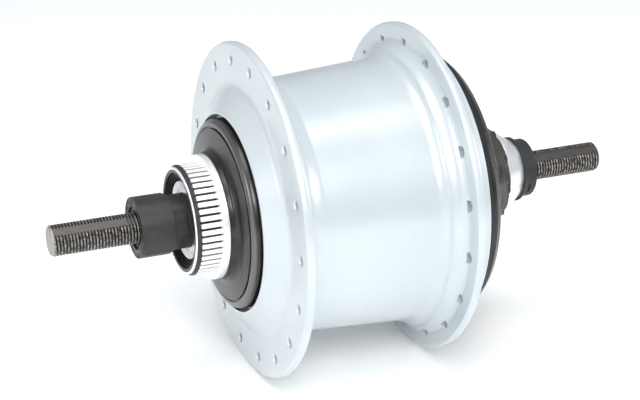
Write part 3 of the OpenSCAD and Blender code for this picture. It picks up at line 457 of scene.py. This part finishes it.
def settle(piece):
    """Turns a piece with modifiers into a plain mesh."""
    seen = piece.evaluated_get(bpy.context.evaluated_depsgraph_get())
    mesh = bpy.data.meshes.new_from_object(seen)
    piece.modifiers.clear()
    piece.data = mesh


def smooth(piece, angle=SHARP_ANGLE):
    """Smooth faces with sharp corners, shaded by the larger face at each edge."""
    piece.data.shade_smooth()
    piece.data.set_sharp_from_angle(angle=angle)
    weigh = piece.modifiers.new("even_shading", "WEIGHTED_NORMAL")
    weigh.keep_sharp = True
    weigh.weight = 60
    settle(piece)


def rounded(*corners):
    """A whole closed outline from corners of (radius, place), or (radius, place, fillet)."""
    outline = []
    for i, corner in enumerate(corners):
        here = Vector(corner[:2])
        if len(corner) == 2:
            outline.append(here)
            continue
        before = Vector(corners[i - 1][:2]) - here
        after = Vector(corners[(i + 1) % len(corners)][:2]) - here
        length = corner[2] / math.tan(before.angle(after) / 2)
        length = min(length, 0.48 * before.length, 0.48 * after.length)
        first = here + before.normalized() * length
        last = here + after.normalized() * length
        outline += curve(first, here, last, FILLET_STEPS)
    return outline


def curve(start, towards, end, steps=CURVE_STEPS):
    """Points from start to end on a curve that leaves and arrives towards one corner."""
    start, towards, end = Vector(start), Vector(towards), Vector(end)
    shares = [step / steps for step in range(steps + 1)]
    return [start * (1 - t) ** 2 + towards * 2 * t * (1 - t) + end * t ** 2 for t in shares]


def race(centre, radius, first, last, steps=10):
    """Points of a ball race, as an arc between two angles in degrees."""
    angles = [math.radians(first + (last - first) * step / steps) for step in range(steps + 1)]
    return [Vector(centre) + radius * Vector((math.cos(angle), math.sin(angle))) for angle in angles]


def turned(name, outline, steps=TURN_STEPS):
    """A closed outline of (radius, place along the axle) turned round the axle."""
    vertices = []
    faces = []
    for radius, place in outline:
        for step in range(steps):
            turn = 2 * math.pi * step / steps
            vertices.append((radius * math.cos(turn), place, -radius * math.sin(turn)))
    for row in range(len(outline)):
        ahead = (row + 1) % len(outline)
        if outline[row][0] == 0 and outline[ahead][0] == 0:
            continue
        for step in range(steps):
            side = (step + 1) % steps
            faces.append((row * steps + step, row * steps + side, ahead * steps + side, ahead * steps + step))
    return new_piece(name, vertices, faces)


def block(name, low, high, turn=0.0):
    """A box between two corners, turned round the axle by an angle in degrees."""
    vertices = [(x, y, z) for x in (low[0], high[0]) for y in (low[1], high[1]) for z in (low[2], high[2])]
    faces = [(0, 1, 3, 2), (4, 6, 7, 5), (0, 4, 5, 1), (2, 3, 7, 6), (0, 2, 6, 4), (1, 5, 7, 3)]
    turned_points = [Matrix.Rotation(math.radians(turn), 3, "Y") @ Vector(v) for v in vertices]
    return new_piece(name, turned_points, faces)


def bevelled(piece, width, segments=2):
    edge = piece.modifiers.new("edges", "BEVEL")
    edge.width = width * MM
    edge.segments = segments
    edge.limit_method = "ANGLE"
    settle(piece)
    return piece


def cut_away(piece, cutter):
    """Cuts one solid out of another and removes the cutter."""
    change = piece.modifiers.new("cut", "BOOLEAN")
    change.operation = "DIFFERENCE"
    change.solver = "EXACT"
    change.object = cutter
    settle(piece)
    bpy.data.objects.remove(cutter)


def cut_flats(piece, across, low, high, turn):
    """Two wrench flats, a given distance apart."""
    far = across
    for side in (0, 180):
        cut_away(piece, block("flat_cutter", (across / 2, low, -far), (far, high, far), turn + side))


# Geometry Nodes trees

def new_tree(name, inputs):
    """A geometry tree with named inputs, and its graph and input node."""
    tree = bpy.data.node_groups.new(name, "GeometryNodeTree")
    tree.interface.new_socket("Geometry", in_out="INPUT", socket_type="NodeSocketGeometry")
    for label, kind in inputs.items():
        tree.interface.new_socket(label, in_out="INPUT", socket_type="NodeSocket" + kind)
    tree.interface.new_socket("Geometry", in_out="OUTPUT", socket_type="NodeSocketGeometry")
    graph = Graph(tree)
    return tree, graph, graph.add("NodeGroupInput").outputs


def end_tree(graph, geometry, finish):
    """Real copies with their finish, as the tree's result."""
    real = graph.add("GeometryNodeRealizeInstances", {0: geometry}).outputs[0]
    dressed = graph.add("GeometryNodeSetMaterial", {"Geometry": real, "Material": finish}).outputs[0]
    graph.add("NodeGroupOutput", {0: dressed})


def grown(name, tree, values):
    """A plain mesh from a geometry tree with its inputs set."""
    piece = new_piece(name, [], [])
    change = piece.modifiers.new("grow", "NODES")
    change.node_group = tree
    for item in tree.interface.items_tree:
        if item.in_out == "INPUT" and item.name in values:
            change[item.identifier] = values[item.name]
    settle(piece)
    return piece


def ring_tree():
    """Copies of a piece set evenly round the axle."""
    tree, graph, given = new_tree("ring_of_copies", {
        "Copied piece": "Object", "Number of copies": "Int", "First angle": "Float", "Finish": "Material"})
    points = graph.add("GeometryNodeMeshLine", {"Count": given["Number of copies"], "Offset": (0, 0, 0)})
    copied = graph.add("GeometryNodeObjectInfo", {"Object": given["Copied piece"]})
    index = Value(graph.add("GeometryNodeInputIndex").outputs[0])
    turn = index * (2 * math.pi / Value(given["Number of copies"])) + Value(given["First angle"])
    rotation = graph.add("FunctionNodeEulerToRotation", {0: graph.vector(0.0, turn, 0.0)})
    copies = graph.add("GeometryNodeInstanceOnPoints", {
        "Points": points.outputs[0], "Instance": copied.outputs["Geometry"], "Rotation": rotation.outputs[0]})
    end_tree(graph, copies.outputs[0], given["Finish"])
    return tree


RING_TREE = ring_tree()


def ring_of(name, copied, count, first, finish):
    """A ring of copies as one mesh. The copied piece is removed."""
    ring = grown(name, RING_TREE, {
        "Copied piece": copied, "Number of copies": count,
        "First angle": math.radians(first), "Finish": finish})
    bpy.data.objects.remove(copied)
    return ring


THREAD_ROWS = 8
THREAD_STEPS = 120


def thread_tree():
    """A right-handed thread with a chamfered tip and two milled flats.

    It is shaped from a grid whose rows follow the helix.
    """
    tree, graph, given = new_tree("worn_thread", {
        "Start": "Float", "Tip": "Float", "Pitch": "Float", "Crest radius": "Float", "Root radius": "Float",
        "Chamfer": "Float", "Flat distance": "Float", "Flat start": "Float", "Flat turn": "Float",
        "Rows": "Int", "Finish": "Material"})
    size = {label: Value(given[label]) for label in (
        "Start", "Tip", "Pitch", "Crest radius", "Root radius", "Chamfer",
        "Flat distance", "Flat start", "Flat turn", "Rows")}
    grid = graph.add("GeometryNodeMeshGrid", {
        "Size X": 1.0, "Size Y": 1.0, "Vertices X": THREAD_STEPS + 1, "Vertices Y": given["Rows"]})
    place = graph.add("ShaderNodeSeparateXYZ", {0: graph.add("GeometryNodeInputPosition").outputs[0]}).outputs
    turn = Value(place[0]) + 0.5
    rows_up = (Value(place[1]) + 0.5) * (size["Rows"] - 1) + 0.5
    row = rows_up.math("FLOOR", rows_up)
    climb = row / THREAD_ROWS + turn - 1
    along = (climb * size["Pitch"]).most(0.0).least(size["Tip"] - size["Start"])
    phase = (along / size["Pitch"] - turn + 8).fraction()
    height = (abs(phase - 0.5) * 2).ramp(0.25, 0.75)
    radius = size["Root radius"] + (size["Crest radius"] - size["Root radius"]) * height
    past_chamfer = along + size["Start"] - (size["Tip"] - size["Chamfer"])
    radius = radius.least(size["Crest radius"] - past_chamfer.most(0.0))
    angle = turn * (2 * math.pi)
    off_flat = angle - size["Flat turn"]
    outward = radius * off_flat.cos()
    sideways = radius * off_flat.sin()
    run_out = (size["Flat start"] + 0.5 - size["Start"] - along).ramp(0.0, 0.5)
    limit = size["Flat distance"] + run_out * (size["Crest radius"] - size["Flat distance"])
    outward = outward.least(limit).most(0 - limit)
    across = size["Flat turn"]
    x = outward * across.cos() - sideways * across.sin()
    z = 0 - (outward * across.sin() + sideways * across.cos())
    spot = graph.vector(x * MM, (along + size["Start"]) * MM, z * MM)
    moved = graph.add("GeometryNodeSetPosition", {"Geometry": grid.outputs[0], "Position": spot})
    joined = graph.add("GeometryNodeMergeByDistance", {0: moved.outputs[0], "Distance": 0.002 * MM})
    end_tree(graph, joined.outputs[0], given["Finish"])
    return tree


THREAD_TREE = thread_tree()


def threaded_end(name, start, tip, flat_start, flat_turn):
    """One threaded end of the axle, drawn towards +Y and closed at both ends."""
    rows = int(math.ceil((tip - start) / THREAD_PITCH + 2) * THREAD_ROWS) + 1
    end = grown(name, THREAD_TREE, {
        "Start": start, "Tip": tip, "Pitch": THREAD_PITCH, "Crest radius": AXLE_R,
        "Root radius": THREAD_ROOT_R, "Chamfer": TIP_CHAMFER, "Flat distance": FLAT_HALF,
        "Flat start": flat_start, "Flat turn": math.radians(flat_turn), "Rows": rows,
        "Finish": FINISHES["axle_steel"]})
    tidy_mesh(end.data, close_holes=True)
    return end


# Fitting pieces to the frame

def fit(piece, body, slot, nodes=(), finish=None, angle=SHARP_ANGLE):
    """Smooths a piece, gives it its finish and sets it on its body in place of the nodes."""
    smooth(piece, angle)
    piece.data.materials.clear()
    piece.data.materials.append(finish or FINISHES[slot])
    if nodes:
        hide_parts(*nodes)
    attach(piece, body)
    return piece


def join(first, *others):
    """Joins pieces into the first one's mesh."""
    form = bmesh.new()
    for piece in (first, *others):
        form.from_mesh(piece.data)
    form.to_mesh(first.data)
    form.free()
    for piece in others:
        bpy.data.objects.remove(piece)
    return first


def turn_end_for_end(piece):
    """Turns a piece half a turn about Z, so that what was drawn towards +Y points to -Y."""
    piece.data.transform(Matrix.Rotation(math.pi, 4, "Z"))


# Axle and what is screwed on it

def make_axle():
    left = threaded_end("threaded_axle", THREAD_START, AXLE_TIP, NUT_FACE + LEFT_STUB, FLAT_TURN)
    right = threaded_end("far_end", THREAD_START, -AXLE_LOW, NUT_FACE + RIGHT_STUB, 180 - FLAT_TURN)
    turn_end_for_end(right)
    body_left = LEFT_CONE_IN - 0.3
    body_right = RIGHT_CONE_IN + 0.3
    middle = turned("middle", rounded(
        (0, -THREAD_START), (AXLE_CORE_R, -THREAD_START), (AXLE_CORE_R, body_right),
        (AXLE_BODY_R, body_right, 0.2), (AXLE_BODY_R, body_left, 0.2), (AXLE_CORE_R, body_left),
        (AXLE_CORE_R, THREAD_START), (0, THREAD_START)), 96)
    axle = join(left, right, middle)
    fit(axle, "axle_assembly", "axle_steel", ["axle"], angle=math.radians(50))


NUT_BORE_R = 4.445
NUT_EDGE = 0.35
NUT_RECESS_R = AXLE_R + 1.7
NUT_RECESS = 0.7
NUT_FLATS = 17.9
NUT_FLAT_TURN = 152
SERRATION_RING = (6.9, NUT_R - 0.25)
SERRATION_DEPTH = 0.4
SERRATIONS = 64


def nut_form(name, length, serrated):
    """A locknut drawn from its inner face at 0 to its outer face.

    The outer face has a recess, and a sunk ring where serrations go.
    """
    inner, outer = SERRATION_RING
    face = [(inner, length), (NUT_RECESS_R, length, 0.15)]
    if serrated:
        face = [
            (outer, length, 0.05), (outer, length - SERRATION_DEPTH), (inner, length - SERRATION_DEPTH),
            (inner, length, 0.05), (NUT_RECESS_R, length, 0.15)]
    return turned(name, rounded(
        (NUT_BORE_R, 0), (NUT_R, 0, 0.2), (NUT_R, length, NUT_EDGE), *face,
        (NUT_RECESS_R, length - NUT_RECESS), (NUT_BORE_R + 0.9, length - NUT_RECESS, 0.1),
        (NUT_BORE_R, length - NUT_RECESS - 0.9)))


def make_left_locknut():
    length = NUT_FACE - LEFT_NUT_IN
    nut = nut_form("left_locknut_body", length, True)
    cut_flats(nut, NUT_FLATS, -1, length - 1.2, NUT_FLAT_TURN)
    nut.data.transform(Matrix.Translation((0, LEFT_NUT_IN * MM, 0)))
    fit(nut, "axle_assembly", "black_steel", ["left_locknut"])
    inner, outer = SERRATION_RING
    half = 0.62 * math.pi * inner / SERRATIONS
    low = NUT_FACE - SERRATION_DEPTH - 0.05
    ridge = new_piece("ridge", [
        (inner - 0.05, low, -half), (inner - 0.05, low, half), (inner - 0.05, NUT_FACE, 0),
        (outer + 0.05, low, -half * 1.25), (outer + 0.05, low, half * 1.25), (outer + 0.05, NUT_FACE, 0)],
        [(0, 1, 2), (3, 5, 4), (0, 3, 4, 1), (1, 4, 5, 2), (0, 2, 5, 3)])
    ridges = ring_of("left_locknut_serrations", ridge, SERRATIONS, 0, FINISHES["black_steel"])
    crests = black_oxide("serration_crests", worn_place=NUT_FACE - 0.16)
    fit(ridges, "axle_assembly", "black_steel", finish=crests)


def make_right_locknut():
    length = NUT_FACE + RIGHT_NUT_IN
    nut = nut_form("right_locknut_body", length, False)
    cut_flats(nut, NUT_FLATS, -1, length - 2.0, 180 - NUT_FLAT_TURN)
    nut.data.transform(Matrix.Translation((0, -RIGHT_NUT_IN * MM, 0)))
    turn_end_for_end(nut)
    fit(nut, "axle_assembly", "black_steel", ["right_locknut"])


WASHER_BORE_R = AXLE_R + 0.06
TAB_WASHER_R = 10.4
TAB_WASHER_FLATS = 19.8
TAB_WASHER_TURN = 60


def make_washers():
    left = turned("left_washer_ring", rounded(
        (WASHER_BORE_R, LEFT_WASHER_IN), (LEFT_WASHER_R, LEFT_WASHER_IN, 0.15),
        (LEFT_WASHER_R, LEFT_WASHER_OUT, 0.15), (WASHER_BORE_R, LEFT_WASHER_OUT)))
    # The washer's outer edge is painted a little paler than its face: a painted highlight.
    edge = black_oxide("washer_edge_painted_highlight", highlight_radius=LEFT_WASHER_R - 0.06, bare_or_highlight_tone=0.05)
    fit(left, "axle_assembly", "black_steel", ["left_washer"], edge)
    right = turned("right_tab_washer_ring", rounded(
        (WASHER_BORE_R, RIGHT_WASHER_IN), (WASHER_BORE_R, RIGHT_WASHER_OUT),
        (TAB_WASHER_R, RIGHT_WASHER_OUT, 0.15), (TAB_WASHER_R, RIGHT_WASHER_IN, 0.15)))
    cut_flats(right, TAB_WASHER_FLATS, RIGHT_WASHER_OUT - 1, RIGHT_WASHER_IN + 1, TAB_WASHER_TURN)
    fit(right, "axle_assembly", "black_steel", ["right_tab_washer"])


LEFT_COLLAR_R = 8.4
LEFT_CONE_FLATS = 15
LEFT_CONE_TURN = 20
LEFT_RACE = (11.2, 42.5)
LEFT_RACE_R = 3.295
DRIVER_RACE = (11.0, -49.2)
DRIVER_RACE_R = 2.5
RIM_RACE = (32.0, -33.9)
RIM_RACE_R = 2.1


def make_left_cone():
    cone = turned("left_cone_body", rounded(
        (NUT_BORE_R, LEFT_CONE_IN), (7.4, LEFT_CONE_IN, 0.2), *race(LEFT_RACE, LEFT_RACE_R, 180, 115),
        (10.6, 45.9), (10.6, 48.4, 0.2), (LEFT_COLLAR_R, 48.9), (LEFT_COLLAR_R, LEFT_CONE_OUT, 0.3),
        (NUT_BORE_R, LEFT_CONE_OUT)))
    cut_flats(cone, LEFT_CONE_FLATS, CAP_IN + 2.2, LEFT_CONE_OUT + 1, LEFT_CONE_TURN)
    fit(cone, "axle_assembly", "black_steel", ["left_cone"])
    cap = turned("left_cone_cap_dish", rounded(
        (LEFT_COLLAR_R + 0.05, CAP_IN, 0.2), (10.0, CAP_IN + 0.05, 1.0), (CAP_R, CAP_OUT - 0.6, 0.2),
        (CAP_R, CAP_OUT, 0.2), (10.0, CAP_IN + 0.75, 1.0), (LEFT_COLLAR_R + 0.05, CAP_IN + 1.0, 0.1)))
    fit(cap, "axle_assembly", "bright_steel", ["left_cone_cap"], SHADED_DISH_SILVER)


CONE_BASE = -53.7
CONE_FACETS = 8
FACET_TURN = 168
FACET_TIP_R = 9.4
FACET_SLOPE = 0.6


def make_right_cone():
    cone = turned("right_cone_body", rounded(
        (NUT_BORE_R, RIGHT_CONE_OUT), (9.6, RIGHT_CONE_OUT, 0.2), (9.75, RIGHT_CONE_OUT + 0.4),
        (10.85, RIGHT_CONE_OUT + 2.1), (12.4, RIGHT_CONE_OUT + 4.5), (RIGHT_CONE_R, CONE_BASE - 0.5, 0.15),
        (RIGHT_CONE_R, CONE_BASE, 0.1), (11.0, CONE_BASE), *race(DRIVER_RACE, DRIVER_RACE_R, 245, 180),
        (8.5, RIGHT_CONE_IN - 1), (8.0, RIGHT_CONE_IN, 0.2), (NUT_BORE_R, RIGHT_CONE_IN)))
    for vertex in cone.data.vertices:
        x, y, z = vertex.co / MM
        off_facet = (math.degrees(math.atan2(-z, x)) - FACET_TURN) % (360 / CONE_FACETS)
        off_facet = math.radians(min(off_facet, 360 / CONE_FACETS - off_facet))
        limit = (FACET_TIP_R + FACET_SLOPE * (y - RIGHT_CONE_OUT)) / math.cos(off_facet)
        radius = math.hypot(x, z)
        if y < CONE_BASE and limit < radius:
            vertex.co.x *= limit / radius
            vertex.co.z *= limit / radius
    fit(cone, "axle_assembly", "bright_steel", ["right_cone"], angle=math.radians(12))


# Shell

def spoke_holes(low, high, turn):
    """Cutters for one flange's holes, countersunk on both faces."""
    wide = SPOKE_HOLE_R + SPOKE_SINK
    cutter = turned("hole", [
        Vector(p) for p in (
            (0, low - 1.4), (wide, low - 1.4), (wide, low), (SPOKE_HOLE_R, low + SPOKE_SINK),
            (SPOKE_HOLE_R, high - SPOKE_SINK), (wide, high), (wide, high + 0.6), (0, high + 0.6))], 24)
    cutter.data.transform(Matrix.Translation((SPOKE_CIRCLE_R * MM, 0, 0)))
    return ring_of("holes", cutter, SPOKES, turn, FINISHES["shell_paint"])


def make_shell():
    edge = RIM_EDGE
    barrel_r = 27.55
    thread_r = DRUM_BORE_R + 1
    outline = rounded(
        (MOUTH_BORE_R, LEFT_FACE + 0.2), (MOUTH_BORE_R, MOUTH_OUT, 0.15),
        (MOUTH_BORE_R + 0.55, MOUTH_OUT - 0.1, 0.3),
        *curve((37.0, LEFT_FACE + 1.3), (38.6, LEFT_FACE), (40.5, LEFT_FACE)),
        (FLANGE_R, LEFT_FACE, edge), (FLANGE_R, LEFT_BACK, edge),
        *curve((46.4, LEFT_BACK), (40.4, LEFT_BACK - 1), DRUM_LEFT),
        *curve(DRUM_RIGHT, (42.0, -17.6), (43.4, -18.4)),
        *curve((43.9, -18.75), (44.2, -21.8), (47.2, RIGHT_BACK)),
        (FLANGE_R, RIGHT_BACK, edge), (FLANGE_R, RIGHT_FACE, edge),
        *curve((47.7, RIGHT_FACE), (44.9, RIGHT_FACE), (44.8, -27.9)),
        (44.5, SHELL_LOW, 0.4), (thread_r, SHELL_LOW, 0.2), (thread_r, SHELL_LOW + 4.5),
        (DRUM_BORE_R, SHELL_LOW + 5.1), (DRUM_BORE_R, 23.5), (33.0, 27.0), (barrel_r, 28.6),
        (barrel_r, LEFT_FACE + 0.2))
    shell = turned("hub_shell_body", outline, 240)
    cut_away(shell, spoke_holes(LEFT_BACK, LEFT_FACE, SPOKE_TURN))
    cut_away(shell, spoke_holes(RIGHT_FACE, RIGHT_BACK, SPOKE_TURN + 180 / SPOKES))
    fit(shell, "shell", "shell_paint", ["hub_shell"])


# Brake side

def make_left_cup():
    """Core of the cup at the grooves' depth, a ring of teeth and the dark band on its nose."""
    core = turned("left_cup_core", rounded(
        (NOSE_BORE_R, CUP_OUT, 0.45), (16.1, CUP_OUT, 0.3), (SPLINE_ROOT_R, SPLINE_OUT + 1.5),
        (SPLINE_ROOT_R, SPLINE_IN),
        (19.2, SPLINE_IN, 0.2), (19.2, SPLINE_IN - 2, 0.2), (18.9, SPLINE_IN - 2), (18.9, COVER_IN),
        (CUP_FLANGE_R, COVER_IN, 0.2), (CUP_FLANGE_R, 31.0, 0.2), (27.45, 31.0), (27.45, CUP_IN),
        (25.55, CUP_IN), (25.55, 36.2), (9.505, 36.2), (9.505, 38.8),
        *race(LEFT_RACE, LEFT_RACE_R, -65, 0), (NOSE_BORE_R, 43.0)))
    fit(core, "shell", "bright_steel", ["left_hub_cup"], SPLINED_SILVER)
    half = TOOTH_SHARE * math.pi * SPLINE_R / SPLINE_TEETH
    tooth = block("tooth", (SPLINE_ROOT_R - 0.3, SPLINE_IN - 0.05, -half), (SPLINE_R, SPLINE_OUT, half))
    bevelled(tooth, 0.22, 3)
    teeth = ring_of("left_cup_teeth", tooth, SPLINE_TEETH, 0, SPLINED_SILVER)
    fit(teeth, "shell", "bright_steel", finish=SPLINED_SILVER)
    band = turned("left_cup_nose_band", rounded(
        (15.9, CUP_OUT - 0.3), (16.3, CUP_OUT - 0.25, 0.1), (17.15, SPLINE_OUT + 0.15, 0.25),
        (16.3, SPLINE_OUT + 0.05)))
    fit(band, "shell", "black_steel")


def make_left_seal():
    inner = CAP_R + 0.4
    seal = turned("left_lip_seal", rounded(
        (inner, SEAL_IN, 0.2), (SEAL_R, SEAL_IN), (SEAL_R, SEAL_OUT, 0.1), (14.1, SEAL_OUT, 0.1),
        (14.0, SEAL_OUT - 0.6, 0.1), (13.65, SEAL_OUT - 0.6, 0.1), (13.55, SEAL_OUT - 1.2, 0.1),
        (13.1, SEAL_OUT - 1.2, 0.1), (13.0, SEAL_OUT - 1.7, 0.1), (inner, SEAL_OUT - 1.5, 0.15)))
    fit(seal, "shell", "seal_rubber", ["left_seal"])


def make_left_cover():
    cover = turned("left_dust_cover_pressing", rounded(
        (COVER_R, COVER_IN), *curve((COVER_R, 36.6), (COVER_R - 0.2, 38.6), (27.0, 38.6)), (26.9, 38.2),
        (26.5, 38.2), (26.5, 38.9, 0.15), *curve((22.4, 39.5), (19.75, 39.8), (19.6, 41.2)),
        (19.6, COVER_OUT - 0.1, 0.15), (18.95, COVER_OUT), (18.95, 39.5), (20.6, 38.6),
        (25.9, 37.5), (28.1, 35.9), (28.1, COVER_IN)))
    fit(cover, "shell", "gunmetal", ["left_dust_cover"], RIMMED_GUNMETAL)


# Sprocket side

def make_right_cup():
    cup = turned("right_cup_body", rounded(
        (38.35, RIGHT_CUP_IN), (38.35, RIGHT_SEAL_OUT), (RIGHT_CUP_R, RIGHT_SEAL_OUT, 0.2),
        (RIGHT_CUP_R, -34.0, 0.2), (41.25, -34.35, 0.1), (41.2, -34.8, 0.3), (39.6, -36.6, 0.3),
        (38.8, RIGHT_CUP_OUT, 0.25), (36.4, RIGHT_CUP_OUT, 0.15), (36.2, RIGHT_CUP_OUT + 0.25, 0.1),
        (34.8, RIGHT_CUP_OUT + 0.25, 0.1), (34.6, RIGHT_CUP_OUT, 0.15), (33.4, RIGHT_CUP_OUT),
        *race(RIM_RACE, RIM_RACE_R, -48, 0), (34.1, -32.4), (35.7, -32.4), (35.7, RIGHT_CUP_IN)))
    fit(cup, "shell", "gunmetal", ["right_ball_cup"])
    seal = turned("right_seal_ring", rounded(
        (38.45, RIGHT_SEAL_OUT), (42.6, RIGHT_SEAL_OUT, 0.2), (43.6, RIGHT_SEAL_OUT + 0.6, 0.3),
        (RIGHT_SEAL_R, RIGHT_SEAL_IN - 0.5, 0.3), (43.8, RIGHT_SEAL_IN, 0.15), (38.45, RIGHT_SEAL_IN)))
    fit(seal, "shell", "seal_rubber", ["right_seal"])


def make_driver():
    cap = turned("driver_dust_cap_pressing", rounded(
        (27.5, DUST_CAP_IN), (DUST_CAP_R, DUST_CAP_IN, 0.2), (DUST_CAP_R, DUST_CAP_IN - 0.8, 0.25),
        (29.9, -37.08, 0.4), (28.7, -39.48, 0.3), (27.9, -39.48, 0.2), (25.4, -43.1, 0.3), (24.6, -43.1, 0.2),
        (22.9, -44.9, 0.3), (21.55, -45.7, 0.15), (21.55, -44.6), (23.7, -42.2)))
    fit(cap, "driver_assembly", "driver_steel", ["driver_dust_cap"])
    body = turned("driver_body", rounded(
        (9.36, DRIVER_IN), (DRIVER_R, DRIVER_IN, 0.2), *race(RIM_RACE, RIM_RACE_R, 90, 180),
        (29.9, DUST_CAP_IN), (27.5, DUST_CAP_IN), (27.5, -31.8), (16.5, -31.8), (16.5, -44.6),
        (21.5, -44.6, 0.2), (21.5, -46.1, 0.25), (17.5, -46.1, 0.1), (17.5, -50.1, 0.3), (15.85, -50.1, 0.1),
        (15.85, -51.8, 0.3), (14.25, -51.8, 0.1), (14.25, DRIVER_END, 0.2), (13.2, DRIVER_END, 0.15),
        (13.5, DRIVER_END + 0.4), *race(DRIVER_RACE, DRIVER_RACE_R, 0, 65), (9.36, -46.5)))
    fit(body, "driver_assembly", "driver_steel", ["driver"])
    lug = turned("lug", rounded(
        (0, DRIVER_END), (LUG_R, DRIVER_END, 0.35), (LUG_R, DRIVER_END + 1.9), (0, DRIVER_END + 1.9)), 28)
    lug.data.transform(Matrix.Translation((LUG_RING_R * MM, 0, 0)))
    cut_away(lug, block("inner_half", (0, DRIVER_END - 3, -3), (13.6, DRIVER_END + 3, 3)))
    lugs = ring_of("driver_lugs", lug, LUGS, LUG_TURN, FINISHES["black_steel"])
    fit(lugs, "driver_assembly", "driver_steel", finish=FINISHES["black_steel"])


# Inner nodes keep their solids and get their finish
def dress_inner_nodes():
    for part in frame["record"]["subparts"]:
        node = frame["nodes"][part["node"]]
        if node.hide_render:
            continue
        node.data.materials.clear()
        node.data.materials.append(FINISHES[part["material_slot"]])


make_axle()
make_left_locknut()
make_right_locknut()
make_washers()
make_left_cone()
make_right_cone()
make_shell()
make_left_cup()
make_left_seal()
make_left_cover()
make_right_cup()
make_driver()
dress_inner_nodes()

# Floor, light and camera
FLOOR_HALF = 3000.0
CAMERA_AZIMUTH = math.radians(247.5)
CAMERA_ELEVATION = math.radians(22.3)
CAMERA_DISTANCE = 551.9
CAMERA_TARGET = Vector((0, 3.9, 0))
CAMERA_RIGHT = -1.71
CAMERA_UP = -0.64
CAMERA_LENS = 99.6


def directions(azimuth, elevation):
    """Right, up and back of a camera that looks at the hub from that side."""
    right = Vector((math.cos(azimuth), math.sin(azimuth), 0))
    level = Vector((math.sin(azimuth), -math.cos(azimuth), 0)) * math.cos(elevation)
    back = level + Vector((0, 0, math.sin(elevation)))
    return right, back.cross(right), back


def make_camera():
    right, up, back = directions(CAMERA_AZIMUTH, CAMERA_ELEVATION)
    spot = CAMERA_TARGET + right * CAMERA_RIGHT + up * CAMERA_UP + back * CAMERA_DISTANCE
    camera = bpy.data.objects.new("camera", bpy.data.cameras.new("camera"))
    camera.matrix_world = Matrix((
        (right.x, up.x, back.x, spot.x * MM), (right.y, up.y, back.y, spot.y * MM),
        (right.z, up.z, back.z, spot.z * MM), (0, 0, 0, 1)))
    camera.data.lens = CAMERA_LENS
    camera.data.sensor_width = 36
    camera.data.clip_start = 0.01
    bpy.context.scene.collection.objects.link(camera)
    bpy.context.scene.camera = camera


def make_floor():
    material, graph = new_finish("floor_white")
    x, y, z = graph.point()
    cloud = graph.noise(graph.vector(x, y, z), 0.004, 2.0, 0.5)
    graph.surface(
        Base_Color=graph.mix(cloud, colour(0.95, 0.95, 0.95), colour(0.98, 0.98, 0.98)), Roughness=0.9,
        Emission_Color=colour(1, 1, 1), Emission_Strength=0.1)
    level = -FLANGE_R - 0.05
    corners = [(-1, -1), (1, -1), (1, 1), (-1, 1)]
    floor = new_piece("floor", [(a * FLOOR_HALF, b * FLOOR_HALF, level) for a, b in corners], [(0, 1, 2, 3)])
    floor.data.materials.append(material)


def area_light(name, spot, size, power):
    """A soft light in metres and watts that shines on the middle of the hub."""
    lamp = bpy.data.lights.new(name, "AREA")
    lamp.shape = "RECTANGLE"
    lamp.size, lamp.size_y = size
    lamp.energy = power
    light = bpy.data.objects.new(name, lamp)
    light.location = Vector(spot)
    light.rotation_euler = (-light.location).to_track_quat("-Z", "Y").to_euler()
    bpy.context.scene.collection.objects.link(light)


def make_light():
    world = bpy.data.worlds.new("studio")
    world.use_nodes = True
    graph = Graph(world.node_tree)
    direction = graph.add("ShaderNodeTexCoord").outputs["Generated"]
    height = Value(graph.add("ShaderNodeSeparateXYZ", {0: direction}).outputs[2])
    sky = graph.mix(height.ramp(0.0, 0.7), colour(0.62, 0.64, 0.66), colour(0.9, 0.95, 1.0))
    background = graph.add("ShaderNodeBackground", {"Color": sky, "Strength": 0.55})
    graph.add("ShaderNodeOutputWorld", {"Surface": background.outputs[0]})
    bpy.context.scene.world = world
    area_light("top", (-0.1, 0.1, 0.75), (0.5, 0.5), 3.0)
    area_light("front", (-0.66, 0.13, 0.55), (0.35, 0.35), 4.2)
    area_light("brake_side", (-0.15, 0.9, 0.3), (0.45, 0.35), 2.1)
    area_light("drive_side", (-0.45, -0.75, 0.35), (0.3, 0.3), 1.2)


bpy.context.scene.view_settings.view_transform = "Standard"
make_camera()
make_floor()
make_light()
